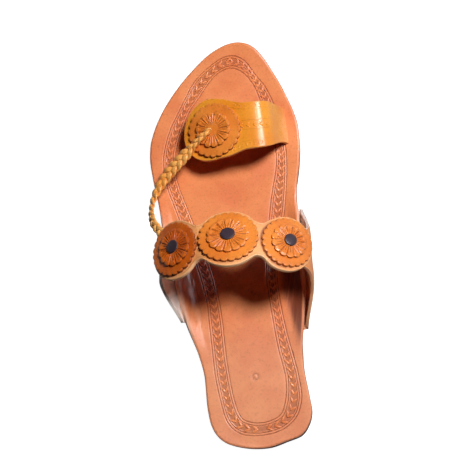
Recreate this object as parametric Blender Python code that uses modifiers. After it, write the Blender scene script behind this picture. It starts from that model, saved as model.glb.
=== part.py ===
"""Kolhapuri sandal for the left foot, in metres, +Y to the toe, +X to the big toe's side, +Z up.

The origin is on the ground under the middle of the heel. A station is a distance along the sole from
its rear end. Side -1 is the outer (lateral) side of the foot, side 1 the inner (medial) side.
"""

import bisect
import math

import bmesh
import bpy
from mathutils import Vector

OBJECT_NAME = "kolhapuri_sandal"

# Sole
SOLE_LENGTH = 0.262
BALL_WIDTH = 0.0955
HEEL_SEAT = 0.032
OUTSOLE_WALL = 0.0045
INSOLE_WALL = 0.003
HEEL_LENGTH = 0.070
LIFT_WALL = 0.004
LIFT_COUNT = 2
TOE_SPRING = 0.0045
SEAM = 0.0003

# Places along the sole, as shares of its length
WAIST_END = 0.535
TREAD_END = 0.890
STRAP_PLACE = 0.456
BAND_PLACE = 0.760
WING_PLACE = 0.435

# Insole edges that turn up at the waist
WING_BACK = 0.062
WING_FRONT = 0.052
WING_REACH = 0.0072
WING_RADIUS = 0.008
WING_TURN = math.radians(62.0)
BEND_INSET = 0.0065

# Instep strap of three round lobes
STRAP_WALL = 0.0024
STRAP_RISE = 0.057
STRAP_SHIFT = -0.0032
STRAP_TURN = math.radians(4.6)
STRAP_BOW = 0.0028
LOBE_RADIUS = 0.0197
LOBE_SPACING = 0.0362
NECK_WIDTH = 0.024

# The strap bows toward the heel between these shares of the lobe spacing
BOW_START = 0.30
BOW_END = 0.75

# Side ears that carry the strap
EAR_WALL = 0.0018
EAR_TUCK = 0.005
EAR_BACK_OUTER = 0.038
EAR_BACK_INNER = 0.052
EAR_FRONT_OUTER = 0.022
EAR_FRONT_INNER = 0.027
EAR_LAP = 0.008
EAR_TOP_BACK = 0.0135
EAR_TOP_FRONT = 0.0025
EAR_DRAW = 0.85
EAR_FULLNESS = 0.36
POCKET_END = 0.0015

# Toe band and the post under it
BAND_WALL = 0.0022
BAND_INSET = 0.0074
BAND_SPAN = 0.066
BAND_RISE = 0.0276
BAND_FOOT = 0.024
BAND_WIDTH = 0.030
TOE_LOBE_RADIUS = 0.0202
TOE_SEAT_SHIFT = 0.0020
TOE_SEAT_DROP = 0.0014
POST_WALL = 0.0022
POST_WIDTH = 0.012
POST_SETBACK = 0.028
POST_LAP = 0.010
POST_FULLNESS = 0.4

# Rosettes
DISC_RADIUS = 0.0177
DISC_WALL = 0.0018
DISC_SCALLOPS = 24
SCALLOP_DEPTH = 0.0010
FLOWER_RADIUS = 0.0124
TOE_FLOWER_RADIUS = 0.0117
FLOWER_WALL = 0.0010
OUTER_FLOWER_SHIFT = 0.0020
PETALS = 14
PETAL_NOTCH = 0.0016
PETAL_CUP = 0.0003
CUP_START = 0.3
CUP_END = 0.9
CENTRE_RADIUS = 0.0042
CENTRE_WALL = 0.0008
CENTRE_EDGE = 0.6

# A seat's bow is read at this share of the disc's radius
SEAT_REACH = 0.75

# Braid from the toe rosette to the outer lobe
BRAID_WIDTH = 0.0084
BRAID_WALL = 0.0032
BRAID_PITCH = 0.0056
BRAID_LAP = 0.0030
BRAID_BEARING = math.radians(33.0)
BRAID_LANDING = 0.13
BRAID_SIDES = 8
BRAID_SWELL = 0.13
BRAID_RISE = 0.16
BRAID_TWIST = 1.6

# Fineness of the curves: points between two marks of a curve, and a short way along a surface
CURVE_SAMPLES = 24
NUDGE = 0.0002
STRAP_SAMPLES = 240
STRAP_MARGIN = 1.1
LAST_SAMPLE = 1.001

# Mesh fineness: counts, then how strongly rows crowd toward round ends
SOLE_ROWS = 40
SOLE_COLUMNS = 4
LIFT_ROWS = 15
FLAT_COLUMNS = 2
BEND_COLUMNS = 4
STRAP_ROWS = 40
STRAP_COLUMNS = 4
EAR_COLUMNS = 8
BAND_ROWS = 22
BAND_COLUMNS = 4
POST_ROWS = 12
POST_COLUMNS = 2
POINTS_PER_SCALLOP = 3
CENTRE_SIDES = 16
BRAID_STEPS_PER_PITCH = 4
POCKET_ROWS = 10
SOLE_CROWDING = 0.7
LIFT_CROWDING = 0.6
STRAP_CROWDING = 0.28
BAND_CROWDING = 0.2
FIRST_ROW = 0.0006
FIRST_LIFT_ROW = 0.0012
LAST_ROW = 0.9985
DISC_RING = 0.42
FLAT_FLOOR = 0.4

# Outline of the sole: station share of the length, then outer and inner edge, shares of the ball width
OUTLINE = (
    (0.000, 0.010, 0.010),
    (0.008, -0.147, 0.130),
    (0.019, -0.226, 0.240),
    (0.038, -0.284, 0.290),
    (0.057, -0.311, 0.316),
    (0.076, -0.324, 0.326),
    (0.115, -0.331, 0.320),
    (0.172, -0.327, 0.310),
    (0.229, -0.346, 0.320),
    (0.286, -0.368, 0.332),
    (0.344, -0.380, 0.341),
    (0.420, -0.398, 0.345),
    (0.496, -0.442, 0.356),
    (0.553, -0.480, 0.378),
    (0.611, -0.515, 0.416),
    (0.668, -0.535, 0.456),
    (0.725, -0.545, 0.480),
    (0.763, -0.534, 0.483),
    (0.802, -0.498, 0.468),
    (0.840, -0.444, 0.438),
    (0.878, -0.372, 0.404),
    (0.916, -0.281, 0.361),
    (0.954, -0.163, 0.311),
    (0.977, -0.074, 0.268),
    (0.992, 0.014, 0.216),
    (1.000, 0.125, 0.125),
)

# Slope of the strap down from its apex: share of the lobe spacing, then degrees
STRAP_SLOPE = (
    (0.00, 0.0),
    (0.38, 6.5),
    (0.62, 30.0),
    (1.00, 36.7),
    (1.60, 48.0),
)

# Tilt of the strap down toward the toe: share of the lobe spacing, then degrees on the outer and the
# inner side
STRAP_TILT = (
    (0.00, 25.0, 25.0),
    (0.34, 24.6, 24.9),
    (0.59, 17.0, 24.6),
    (1.00, 16.5, 24.5),
    (1.60, 16.2, 24.5),
)

# Middle of the toe band: share of its span from the foot, share of its rise, shift to the toe as a
# share of the band width
BAND_LINE = (
    (0.000, 0.000, 0.070),
    (0.018, 0.120, 0.066),
    (0.085, 0.480, 0.020),
    (0.160, 0.820, -0.050),
    (0.245, 0.985, -0.090),
    (0.357, 1.000, -0.088),
    (0.496, 0.925, -0.055),
    (0.713, 0.780, 0.000),
    (0.853, 0.652, -0.020),
    (1.000, 0.500, -0.060),
)
BAND_LOBE_ROW = 7

# Half-width of the toe band: share of the way to the lobe, then shares of the foot, band and lobe
BAND_SIDES = (
    (0.00, 0.50, 0.00, 0.00),
    (0.10, 0.50, 0.00, 0.00),
    (0.48, 0.00, 0.50, 0.00),
    (0.66, 0.00, 0.51, 0.00),
    (0.88, 0.00, 0.00, 0.95),
    (1.00, 0.00, 0.00, 1.00),
)

# Free run of the braid: shares of the way across and back to its end, share of the end's height over
# the insole, then the direction that its face looks
BRAID_RUN = (
    (0.640, 0.246, 0.56, (-0.46, -0.15, 0.87)),
    (0.912, 0.365, 0.40, (-0.56, -0.25, 0.79)),
    (1.115, 0.524, 0.38, (-0.74, -0.18, 0.65)),
    (1.177, 0.653, 0.50, (-0.84, 0.00, 0.54)),
    (1.149, 0.808, 0.76, (-0.80, 0.15, 0.58)),
)

# Materials: colour (linear RGB), roughness
LOOKS = {
    "insole_leather": ((0.78, 0.29, 0.13), 0.40),
    "sole_leather": ((0.12, 0.05, 0.025), 0.60),
    "upper_leather": ((0.76, 0.31, 0.14), 0.42),
    "band_leather": ((0.75, 0.28, 0.035), 0.35),
    "rosette_leather": ((0.80, 0.26, 0.04), 0.42),
    "centre_leather": ((0.022, 0.020, 0.035), 0.50),
    "braid_leather": ((0.67, 0.30, 0.08), 0.45),
}


def reader(rows, column=1, warp=float):
    """Makes a smooth reading of a table's column against its first, with no overshoot between rows."""
    xs = [warp(row[0]) for row in rows]
    ys = [row[column] for row in rows]
    steps = [b - a for a, b in zip(xs, xs[1:])]
    rises = [(b - a) / step for a, b, step in zip(ys, ys[1:], steps)]
    slopes = [rises[0]]
    for k in range(1, len(rises)):
        before, after = rises[k - 1], rises[k]
        near, far = 2 * steps[k] + steps[k - 1], steps[k] + 2 * steps[k - 1]
        turns = before * after <= 0
        slopes.append(0.0 if turns else (near + far) / (near / before + far / after))
    slopes.append(rises[-1])

    def read(value):
        x = min(max(warp(value), xs[0]), xs[-1])
        k = min(bisect.bisect_right(xs, x) - 1, len(steps) - 1)
        t = (x - xs[k]) / steps[k]
        start = ys[k] * (1 + 2 * t) * (1 - t) ** 2 + ys[k + 1] * (3 - 2 * t) * t * t
        return start + steps[k] * (slopes[k] * t * (1 - t) ** 2 - slopes[k + 1] * t * t * (1 - t))

    return read


def end_angle(share):
    """Turns a share of the length into an angle, so that round ends read smoothly."""
    return math.acos(1 - 2 * min(max(share, 0.0), 1.0))


def ease(share):
    t = min(max(share, 0.0), 1.0)
    return t * t * (3 - 2 * t)


EDGES = {-1: reader(OUTLINE, 1, end_angle), 1: reader(OUTLINE, 2, end_angle)}


def edge(side, station):
    return BALL_WIDTH * EDGES[side](station / SOLE_LENGTH)


def middle(station):
    return (edge(-1, station) + edge(1, station)) / 2


def half_width(station):
    return (edge(1, station) - edge(-1, station)) / 2


def sole_station(share):
    """Stations that lie closer together at the two round ends."""
    inside = FIRST_ROW + (1 - 2 * FIRST_ROW) * share
    crowded = (1 - math.cos(math.pi * inside)) / 2
    return SOLE_LENGTH * (inside + SOLE_CROWDING * (crowded - inside))


def outsole_floor(station):
    heel = LIFT_COUNT * (LIFT_WALL + SEAM)
    waist = ease((station - HEEL_LENGTH) / (WAIST_END * SOLE_LENGTH - HEEL_LENGTH))
    toe = max(0.0, (station / SOLE_LENGTH - TREAD_END) / (1 - TREAD_END))
    return heel * (1 - waist) + TOE_SPRING * toe**2


def outsole_top(station):
    return outsole_floor(station) + OUTSOLE_WALL


def insole_top(station):
    return outsole_top(station) + SEAM + INSOLE_WALL


def place(x, station, z):
    return Vector((x, station - HEEL_SEAT, z))


def wing(station):
    """How far the insole's edge is turned up here, from 0 to 1."""
    away = station - WING_PLACE * SOLE_LENGTH
    reach = WING_BACK if away < 0 else WING_FRONT
    return math.cos(math.pi / 2 * min(1.0, abs(away) / reach)) ** 2


def bend_start(station):
    return half_width(station) - BEND_INSET


def insole_reach(station):
    return half_width(station) + WING_REACH * wing(station)


def insole_point(side, station, along):
    """Top of the insole at a distance along its surface from the middle line."""
    past = max(0.0, along - bend_start(station))
    arc = min(past, WING_RADIUS * WING_TURN * wing(station))
    turn = arc / WING_RADIUS
    flat = min(along, bend_start(station))
    out = flat + WING_RADIUS * math.sin(turn) + (past - arc) * math.cos(turn)
    up = WING_RADIUS * (1 - math.cos(turn)) + (past - arc) * math.sin(turn)
    return place(middle(station) + side * out, station, insole_top(station) + up)


def normal_of(surface, u, v):
    """Unit normal of a surface on the side where Z is up, or outward where it stands."""
    across = surface(u + NUDGE, v) - surface(u - NUDGE, v)
    along = surface(u, v + NUDGE) - surface(u, v - NUDGE)
    return across.cross(along).normalized()


def under_insole(side, station, along, depth):
    """A point at a depth below the insole's top, square to its surface."""

    def surface(a, s):
        return insole_point(side, s, a)

    normal = normal_of(surface, along, station) * side
    return insole_point(side, station, along) - normal * depth


def running_sum(angle_at, reach, count):
    """Runs and drops of a curve whose slope angle is known along it, at even distances."""
    step = reach / count
    runs, drops = [0.0], [0.0]
    for k in range(count):
        angle = angle_at((k + 0.5) * step)
        runs.append(runs[-1] + step * math.cos(angle))
        drops.append(drops[-1] + step * math.sin(angle))
    return step, runs, drops


SLOPE_AT = reader(STRAP_SLOPE)
TILT_AT = {-1: reader(STRAP_TILT, 1), 1: reader(STRAP_TILT, 2)}
STRAP_REACH = LOBE_SPACING + LOBE_RADIUS
STRAP_STEP, STRAP_RUNS, STRAP_DROPS = running_sum(
    lambda u: math.radians(SLOPE_AT(u / LOBE_SPACING)), STRAP_REACH * STRAP_MARGIN, STRAP_SAMPLES
)


def strap_point(u, v):
    """Outer face of the strap: u along it from the apex to the inner side, v toward the toe."""
    at = min(abs(u) / STRAP_STEP, len(STRAP_RUNS) - LAST_SAMPLE)
    k = int(at)
    run = STRAP_RUNS[k] + (at - k) * (STRAP_RUNS[k + 1] - STRAP_RUNS[k])
    drop = STRAP_DROPS[k] + (at - k) * (STRAP_DROPS[k + 1] - STRAP_DROPS[k])
    share = abs(u) / LOBE_SPACING
    tilt = math.radians(TILT_AT[1 if u > 0 else -1](share))
    station = STRAP_PLACE * SOLE_LENGTH
    apex = insole_top(station) + STRAP_RISE
    across, along = math.copysign(run, u), v * math.cos(tilt)
    x = STRAP_SHIFT + across * math.cos(STRAP_TURN) + along * math.sin(STRAP_TURN)
    ahead = along * math.cos(STRAP_TURN) - across * math.sin(STRAP_TURN)
    bow = STRAP_BOW * ease((share - BOW_START) / (BOW_END - BOW_START))
    return place(x, station + ahead - bow, apex - drop - v * math.sin(tilt))


def strap_half(u):
    """Half-width of the strap: three round lobes joined by hollow necks."""
    fillet_x = LOBE_SPACING / 2
    neck = NECK_WIDTH / 2
    fillet = (fillet_x**2 + neck**2 - LOBE_RADIUS**2) / (2 * (LOBE_RADIUS - neck))
    reach = fillet_x * fillet / (LOBE_RADIUS + fillet)
    away = abs(u) - fillet_x
    if abs(away) < reach:
        return neck + fillet - math.sqrt(fillet**2 - away**2)
    centre = 0.0 if away < 0 else LOBE_SPACING
    return math.sqrt(max(LOBE_RADIUS**2 - (abs(u) - centre) ** 2, 0.0))


def under_strap(u, v, depth):
    return strap_point(u, v) - normal_of(strap_point, u, v) * depth


def bezier(points, t):
    a, b, c, d = points
    s = 1 - t
    return a * s**3 + b * 3 * s * s * t + c * 3 * s * t * t + d * t**3


def ear_span(side):
    """How far the base of an ear reaches toward the heel and toward the toe."""
    if side < 0:
        return EAR_BACK_OUTER, EAR_FRONT_OUTER
    return EAR_BACK_INNER, EAR_FRONT_INNER


def ear_point(side, p, q):
    """Middle layer of an ear: p runs 0..4 from under the insole to under the lobe, q -1..1 to the toe."""
    back, front_reach = ear_span(side)
    station = STRAP_PLACE * SOLE_LENGTH + q * (back if q < 0 else front_reach)
    front = EAR_TOP_FRONT if side < 0 else EAR_TOP_BACK
    v = q * (EAR_TOP_BACK if q < 0 else front)
    low = INSOLE_WALL + SEAM + EAR_WALL / 2
    high = STRAP_WALL + SEAM + EAR_WALL / 2
    start = bend_start(station)
    end = insole_reach(station) + (1 - wing(station)) * (EAR_WALL + SEAM)
    leave = STRAP_REACH - EAR_LAP
    if p <= 1:
        return under_insole(side, station, start - (1 - p) * EAR_TUCK, low)
    if p <= 2:
        return under_insole(side, station, start + (p - 1) * (end - start), low)
    if p >= 3:
        return under_strap(side * (leave - (p - 3) * EAR_LAP), v, high)
    foot = under_insole(side, station, end, low)
    head = under_strap(side * leave, v, high)
    rising = Vector((side * math.cos(WING_TURN), 0, math.sin(WING_TURN)))
    rising = rising.lerp((head - foot).normalized(), EAR_DRAW * q * q)
    falling = (under_strap(side * (leave + NUDGE), v, high) - head).normalized()
    pull = EAR_FULLNESS * (head - foot).length
    return bezier((foot, foot + rising * pull, head + falling * pull, head), p - 2)


def arc_curve(points):
    """A smooth curve through points: a function of the distance along it, and its length."""
    gaps = [(b - a).length for a, b in zip(points, points[1:])]
    tangents = [(points[1] - points[0]) / gaps[0]]
    for k in range(1, len(gaps)):
        before = (points[k] - points[k - 1]) / gaps[k - 1]
        after = (points[k + 1] - points[k]) / gaps[k]
        tangents.append((before * gaps[k] + after * gaps[k - 1]) / (gaps[k] + gaps[k - 1]))
    tangents.append((points[-1] - points[-2]) / gaps[-1])
    line = [points[0]]
    for k, gap in enumerate(gaps):
        reach = gap / 3
        knots = (
            points[k],
            points[k] + tangents[k] * reach,
            points[k + 1] - tangents[k + 1] * reach,
            points[k + 1],
        )
        line += [bezier(knots, (j + 1) / CURVE_SAMPLES) for j in range(CURVE_SAMPLES)]
    marks = [0.0]
    for a, b in zip(line, line[1:]):
        marks.append(marks[-1] + (b - a).length)

    def at(distance):
        k = min(max(bisect.bisect_right(marks, distance) - 1, 0), len(line) - 2)
        share = (distance - marks[k]) / (marks[k + 1] - marks[k])
        return line[k].lerp(line[k + 1], share)

    return at, marks


def band_curve():
    station = BAND_PLACE * SOLE_LENGTH
    foot_x = edge(1, station) - BAND_INSET
    foot = insole_top(station)
    points = [place(foot_x, station + BAND_LINE[0][2] * BAND_WIDTH, foot - INSOLE_WALL)]
    for across, up, shift in BAND_LINE:
        points.append(place(foot_x - across * BAND_SPAN, station + shift * BAND_WIDTH, foot + up * BAND_RISE))
    return arc_curve(points)


BAND_AT, BAND_MARKS = band_curve()
BAND_LOBE = BAND_MARKS[(BAND_LOBE_ROW + 1) * CURVE_SAMPLES]
BAND_END = BAND_LOBE + TOE_LOBE_RADIUS


def band_point(u, v):
    """Outer face of the toe band: u along it from its foot, v toward the heel."""
    return BAND_AT(u) - Vector((0, v, 0))


def band_half(u):
    share = u / BAND_LOBE
    if share >= 1:
        return math.sqrt(max(TOE_LOBE_RADIUS**2 - (u - BAND_LOBE) ** 2, 0.0))
    sizes = (BAND_FOOT, BAND_WIDTH, TOE_LOBE_RADIUS)
    rows = [(row[0], sum(a * b for a, b in zip(row[1:], sizes))) for row in BAND_SIDES]
    return reader(rows)(share)


def post_point(p, v):
    """Middle layer of the toe post: p runs 0..3 from the slit up to the lobe's underside."""
    station = BAND_PLACE * SOLE_LENGTH
    x = edge(1, station) - BAND_INSET - POST_SETBACK
    depth = BAND_WALL + SEAM + POST_WALL / 2
    leave = BAND_LOBE - POST_LAP / 2

    def tab(u):
        return band_point(u, v) - normal_of(band_point, u, v) * depth

    foot = place(x, station - v, insole_top(station))
    if p <= 1:
        return foot - Vector((0, 0, INSOLE_WALL * (1 - p)))
    if p >= 2:
        return tab(leave + (p - 2) * POST_LAP)
    head = tab(leave)
    leaving = (head - tab(leave + NUDGE)).normalized()
    pull = POST_FULLNESS * (head - foot).length
    return bezier((foot, foot + Vector((0, 0, pull)), head + leaving * pull, head), p - 1)


def flat_grid(rows, columns):
    """A sheet of quads over u 0..1 and v -1..1."""
    sheet = bmesh.new()
    bmesh.ops.create_grid(sheet, x_segments=rows, y_segments=columns, size=1.0)
    for vert in sheet.verts:
        vert.co.x = (vert.co.x + 1) / 2
    return sheet


def flat_disc(segments):
    """A unit disc with one ring of quads round a fan."""
    sheet = bmesh.new()
    bmesh.ops.create_circle(sheet, cap_ends=True, segments=segments, radius=1.0)
    bmesh.ops.inset_region(sheet, faces=sheet.faces[:], thickness=DISC_RING, use_boundary=True)
    inner = max(sheet.faces, key=lambda face: len(face.verts))
    bmesh.ops.poke(sheet, faces=[inner])
    return sheet


def leather(name):
    material = bpy.data.materials.get(name)
    if material:
        return material
    colour, roughness = LOOKS[name]
    material = bpy.data.materials.new(name)
    material.use_nodes = True
    shader = material.node_tree.nodes["Principled BSDF"]
    shader.inputs["Base Color"].default_value = (*colour, 1.0)
    shader.inputs["Roughness"].default_value = roughness
    shader.inputs["Metallic"].default_value = 0.0
    return material


def collection(name):
    found = bpy.data.collections.new(name)
    bpy.context.scene.collection.children.link(found)
    return found


def add(name, sheet, look, group):
    mesh = bpy.data.meshes.new(name)
    sheet.to_mesh(mesh)
    sheet.free()
    mesh.shade_smooth()
    mesh.set_sharp_from_angle(angle=math.radians(40))
    mesh.materials.append(leather(look))
    piece = bpy.data.objects.new(name, mesh)
    group.objects.link(piece)
    return piece


def slab(name, sheet, lower, upper, look, group):
    """Raises a flat sheet into a closed solid whose two faces follow the two given surfaces."""
    grown = bmesh.ops.extrude_face_region(sheet, geom=sheet.faces[:])
    raised = {part for part in grown["geom"] if isinstance(part, bmesh.types.BMVert)}
    for vert in sheet.verts:
        surface = upper if vert in raised else lower
        vert.co = surface(vert.co.x, vert.co.y)
    bmesh.ops.recalc_face_normals(sheet, faces=sheet.faces[:])
    return add(name, sheet, look, group)


def shell(name, sheet, surface, wall, offset, look, group):
    """Maps a flat sheet onto a surface and gives it a wall with Solidify."""
    for vert in sheet.verts:
        vert.co = surface(vert.co.x, vert.co.y)
    piece = add(name, sheet, look, group)
    solidify = piece.modifiers.new("wall", "SOLIDIFY")
    solidify.thickness = wall
    solidify.offset = offset
    return piece


def cut(piece, cutter):
    cutter.hide_render = True
    cutter.display_type = "WIRE"
    boolean = piece.modifiers.new("cut " + cutter.name, "BOOLEAN")
    boolean.operation = "DIFFERENCE"
    boolean.object = cutter


def outsole(parts, cutters):
    def level(height):
        def surface(u, v):
            station = sole_station(u)
            return place(middle(station) + v * half_width(station), station, height(station))

        return surface

    sheet = flat_grid(SOLE_ROWS, SOLE_COLUMNS)
    sole = slab("outsole", sheet, level(outsole_floor), level(outsole_top), "sole_leather", parts)
    for side, name in ((-1, "ear_pocket_lateral"), (1, "ear_pocket_medial")):
        cut(sole, ear_pocket(side, name, cutters))


def ear_pocket(side, name, cutters):
    """Room cut in the outsole's top for the base of an ear."""
    centre = STRAP_PLACE * SOLE_LENGTH
    back_reach, front_reach = ear_span(side)
    back, front = centre - back_reach - POCKET_END, centre + front_reach + POCKET_END

    def level(height):
        def surface(u, v):
            station = back + u * (front - back)
            inner = bend_start(station) - EAR_TUCK - SEAM
            outer = half_width(station) + WING_RADIUS
            out = inner + (v + 1) / 2 * (outer - inner)
            return place(middle(station) + side * out, station, outsole_top(station) + height)

        return surface

    sheet = flat_grid(POCKET_ROWS, 1)
    return slab(name, sheet, level(-EAR_WALL - SEAM), level(OUTSOLE_WALL), "sole_leather", cutters)


def heel_lifts(parts):
    for k in range(LIFT_COUNT):
        floor = k * (LIFT_WALL + SEAM)

        def level(z):
            def surface(u, v):
                inside = FIRST_LIFT_ROW + (1 - FIRST_LIFT_ROW) * u
                crowded = 1 - math.cos(math.pi / 2 * inside)
                station = HEEL_LENGTH * (inside + LIFT_CROWDING * (crowded - inside))
                return place(middle(station) + v * half_width(station), station, z)

            return surface

        sheet = flat_grid(LIFT_ROWS, SOLE_COLUMNS)
        slab(f"heel_lift_{k + 1}", sheet, level(floor), level(floor + LIFT_WALL), "sole_leather", parts)


def insole(parts, cutters):
    columns = FLAT_COLUMNS + BEND_COLUMNS

    def surface(u, v):
        station = sole_station(u)
        start, end = bend_start(station), insole_reach(station)
        start = max(start, FLAT_FLOOR * half_width(station))
        share = abs(v) * columns
        if share <= FLAT_COLUMNS:
            along = start * share / FLAT_COLUMNS
        else:
            along = start + (end - start) * (share - FLAT_COLUMNS) / BEND_COLUMNS
        return insole_point(math.copysign(1, v), station, along)

    sheet = flat_grid(SOLE_ROWS, 2 * columns)
    piece = shell("insole", sheet, surface, INSOLE_WALL, 1, "insole_leather", parts)
    cut(piece, band_slit(cutters))
    cut(piece, post_slit(cutters))


def band_slit(cutters):
    """Slit in the insole for the foot of the toe band."""
    low, high = -SEAM * 2, BAND_MARKS[CURVE_SAMPLES] + INSOLE_WALL

    def surface(u, v):
        return band_point(low + u * (high - low), v * (BAND_FOOT / 2 + SEAM))

    def face(sign):
        def offset(u, v):
            at = low + u * (high - low)
            normal = normal_of(band_point, at, 0.0)
            shift = -BAND_WALL - SEAM if sign < 0 else SEAM
            return surface(u, v) + normal * shift

        return offset

    return slab("band_slit", flat_grid(4, 1), face(-1), face(1), "insole_leather", cutters)


def post_slit(cutters):
    """Slit in the insole for the foot of the toe post."""

    def face(sign):
        def offset(u, v):
            at = post_point(u, v * (POST_WIDTH / 2 + SEAM))
            lift = (2 * u - 1) * SEAM * 2
            return at + Vector((sign * (POST_WALL / 2 + SEAM), 0, lift))

        return offset

    return slab("post_slit", flat_grid(1, 1), face(-1), face(1), "insole_leather", cutters)


def ear(side, name, parts):
    def surface(u, v):
        return ear_point(side, knots[round(u * (len(knots) - 1))], v)

    knots = [0, 1]
    knots += [1 + k / 4 for k in range(1, 5)]
    knots += [2 + k / 7 for k in range(1, 8)]
    knots += [3.5, 4]
    sheet = flat_grid(len(knots) - 1, EAR_COLUMNS)
    shell(name, sheet, surface, EAR_WALL, 0, "upper_leather", parts)


def instep_strap(parts):
    def surface(u, v):
        share = 2 * u - 1
        crowded = math.sin(math.pi / 2 * share)
        along = STRAP_REACH * LAST_ROW * (share + STRAP_CROWDING * (crowded - share))
        return strap_point(along, v * strap_half(along))

    sheet = flat_grid(STRAP_ROWS, STRAP_COLUMNS)
    shell("instep_strap", sheet, surface, STRAP_WALL, -1, "upper_leather", parts)


def toe_band(parts):
    def surface(u, v):
        along = BAND_END * LAST_ROW * (u + BAND_CROWDING * (math.sin(math.pi / 2 * u) - u))
        return band_point(along, v * band_half(along))

    sheet = flat_grid(BAND_ROWS, BAND_COLUMNS)
    shell("toe_band", sheet, surface, BAND_WALL, -1, "band_leather", parts)


def toe_post(parts):
    def surface(u, v):
        return post_point(3 * u, v * POST_WIDTH / 2)

    shell("toe_post", flat_grid(POST_ROWS, POST_COLUMNS), surface, POST_WALL, 0, "upper_leather", parts)


def seat_on(surface, u, v):
    """Polar places over a lobe: radius, angle and height over the bowed patch that fits its middle."""
    reach = SEAT_REACH * DISC_RADIUS
    middle_point = surface(u, v)
    normal = normal_of(surface, u, v)

    def slope(du, dv):
        return (surface(u + du, v + dv) - surface(u - du, v - dv)) / (2 * reach)

    def bow(du, dv):
        away = surface(u + du, v + dv) + surface(u - du, v - dv) - 2 * middle_point
        return away.dot(normal) / reach**2

    along, across = slope(reach, 0), slope(0, reach)
    bow_along, bow_across = bow(reach, 0), bow(0, reach)
    twist = (bow(reach, reach) - bow_along - bow_across) / 2

    def patch(x, y):
        rise = (bow_along * x * x + bow_across * y * y) / 2 + twist * x * y
        return middle_point + along * x + across * y + normal * rise

    def seat(radius, angle, height, shift=0.0):
        x, y = radius * math.cos(angle) + shift, radius * math.sin(angle)
        return patch(x, y) + normal_of(patch, x, y) * height

    return seat


def wavy_slab(name, seat, count, radius, notch, floor, top, look, parts):
    """A disc with a rim of round waves; top gives the height of its face at a share of the radius."""

    def spot(x, y):
        share = math.hypot(x, y)
        angle = math.atan2(y, x)
        wave = abs(math.sin(count * angle / 2)) ** 0.6
        return share * (radius - notch * (1 - wave)), angle, share

    def lower(x, y):
        out, angle, _ = spot(x, y)
        return seat(out, angle, floor)

    def upper(x, y):
        out, angle, share = spot(x, y)
        return seat(out, angle, floor + top(share))

    sheet = flat_disc(POINTS_PER_SCALLOP * count)
    slab(name, sheet, lower, upper, look, parts)


def rosette(side, seat, flower_radius, shift, has_centre, parts):
    disc_floor = SEAM
    flower_floor = disc_floor + DISC_WALL + SEAM
    centre_floor = flower_floor + FLOWER_WALL + SEAM

    def flower_seat(radius, angle, height):
        return seat(radius, angle, height, shift)

    def disc_top(share):
        return DISC_WALL

    def flower_top(share):
        return FLOWER_WALL + (PETAL_CUP if CUP_START < share < CUP_END else 0.0)

    def centre_top(share):
        return CENTRE_WALL if share < CUP_END else CENTRE_EDGE * CENTRE_WALL

    wavy_slab(
        f"rosette_disc_{side}", seat, DISC_SCALLOPS, DISC_RADIUS, SCALLOP_DEPTH, disc_floor, disc_top,
        "rosette_leather", parts,
    )
    wavy_slab(
        f"flower_{side}", flower_seat, PETALS, flower_radius, PETAL_NOTCH, flower_floor, flower_top,
        "rosette_leather", parts,
    )
    if has_centre:
        flower_centre(f"flower_centre_{side}", flower_seat, centre_floor + PETAL_CUP, centre_top, parts)


def flower_centre(name, seat, floor, top, parts):
    def lower(x, y):
        return seat(CENTRE_RADIUS * math.hypot(x, y), math.atan2(y, x), floor)

    def upper(x, y):
        share = math.hypot(x, y)
        return seat(CENTRE_RADIUS * share, math.atan2(y, x), floor + top(share))

    slab(name, flat_disc(CENTRE_SIDES), lower, upper, "centre_leather", parts)


def braid_route(toe_seat):
    """Points and face directions of the braid, from the toe flower to under the outer lobe."""
    lift = DISC_WALL + 2 * SEAM + BRAID_WALL / 2
    over_flower = lift + FLOWER_WALL + PETAL_CUP + SEAM
    route = []
    past_disc = lift + 3 * SEAM
    for radius, height in ((0.0, over_flower), (TOE_FLOWER_RADIUS, over_flower), (DISC_RADIUS, past_disc)):
        at = toe_seat(radius, BRAID_BEARING, height)
        route.append((at, (toe_seat(radius, BRAID_BEARING, height + NUDGE) - at).normalized()))
    depth = STRAP_WALL + SEAM + BRAID_WALL / 2
    u = -(STRAP_REACH - LOBE_RADIUS * BRAID_LANDING)
    rim = strap_half(u)
    ends = []
    for v in (rim + BRAID_LAP, rim, rim - BRAID_LAP):
        ends.append((under_strap(u, v, depth), normal_of(strap_point, u, v)))
    start, end = route[0][0], ends[0][0]
    ground = insole_top(STRAP_PLACE * SOLE_LENGTH)
    for across, back, up, face in BRAID_RUN:
        x = start.x + across * (end.x - start.x)
        y = start.y + back * (end.y - start.y)
        z = ground + up * (end.z - ground)
        route.append((Vector((x, y, z)), Vector(face).normalized()))
    return route + ends


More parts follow.
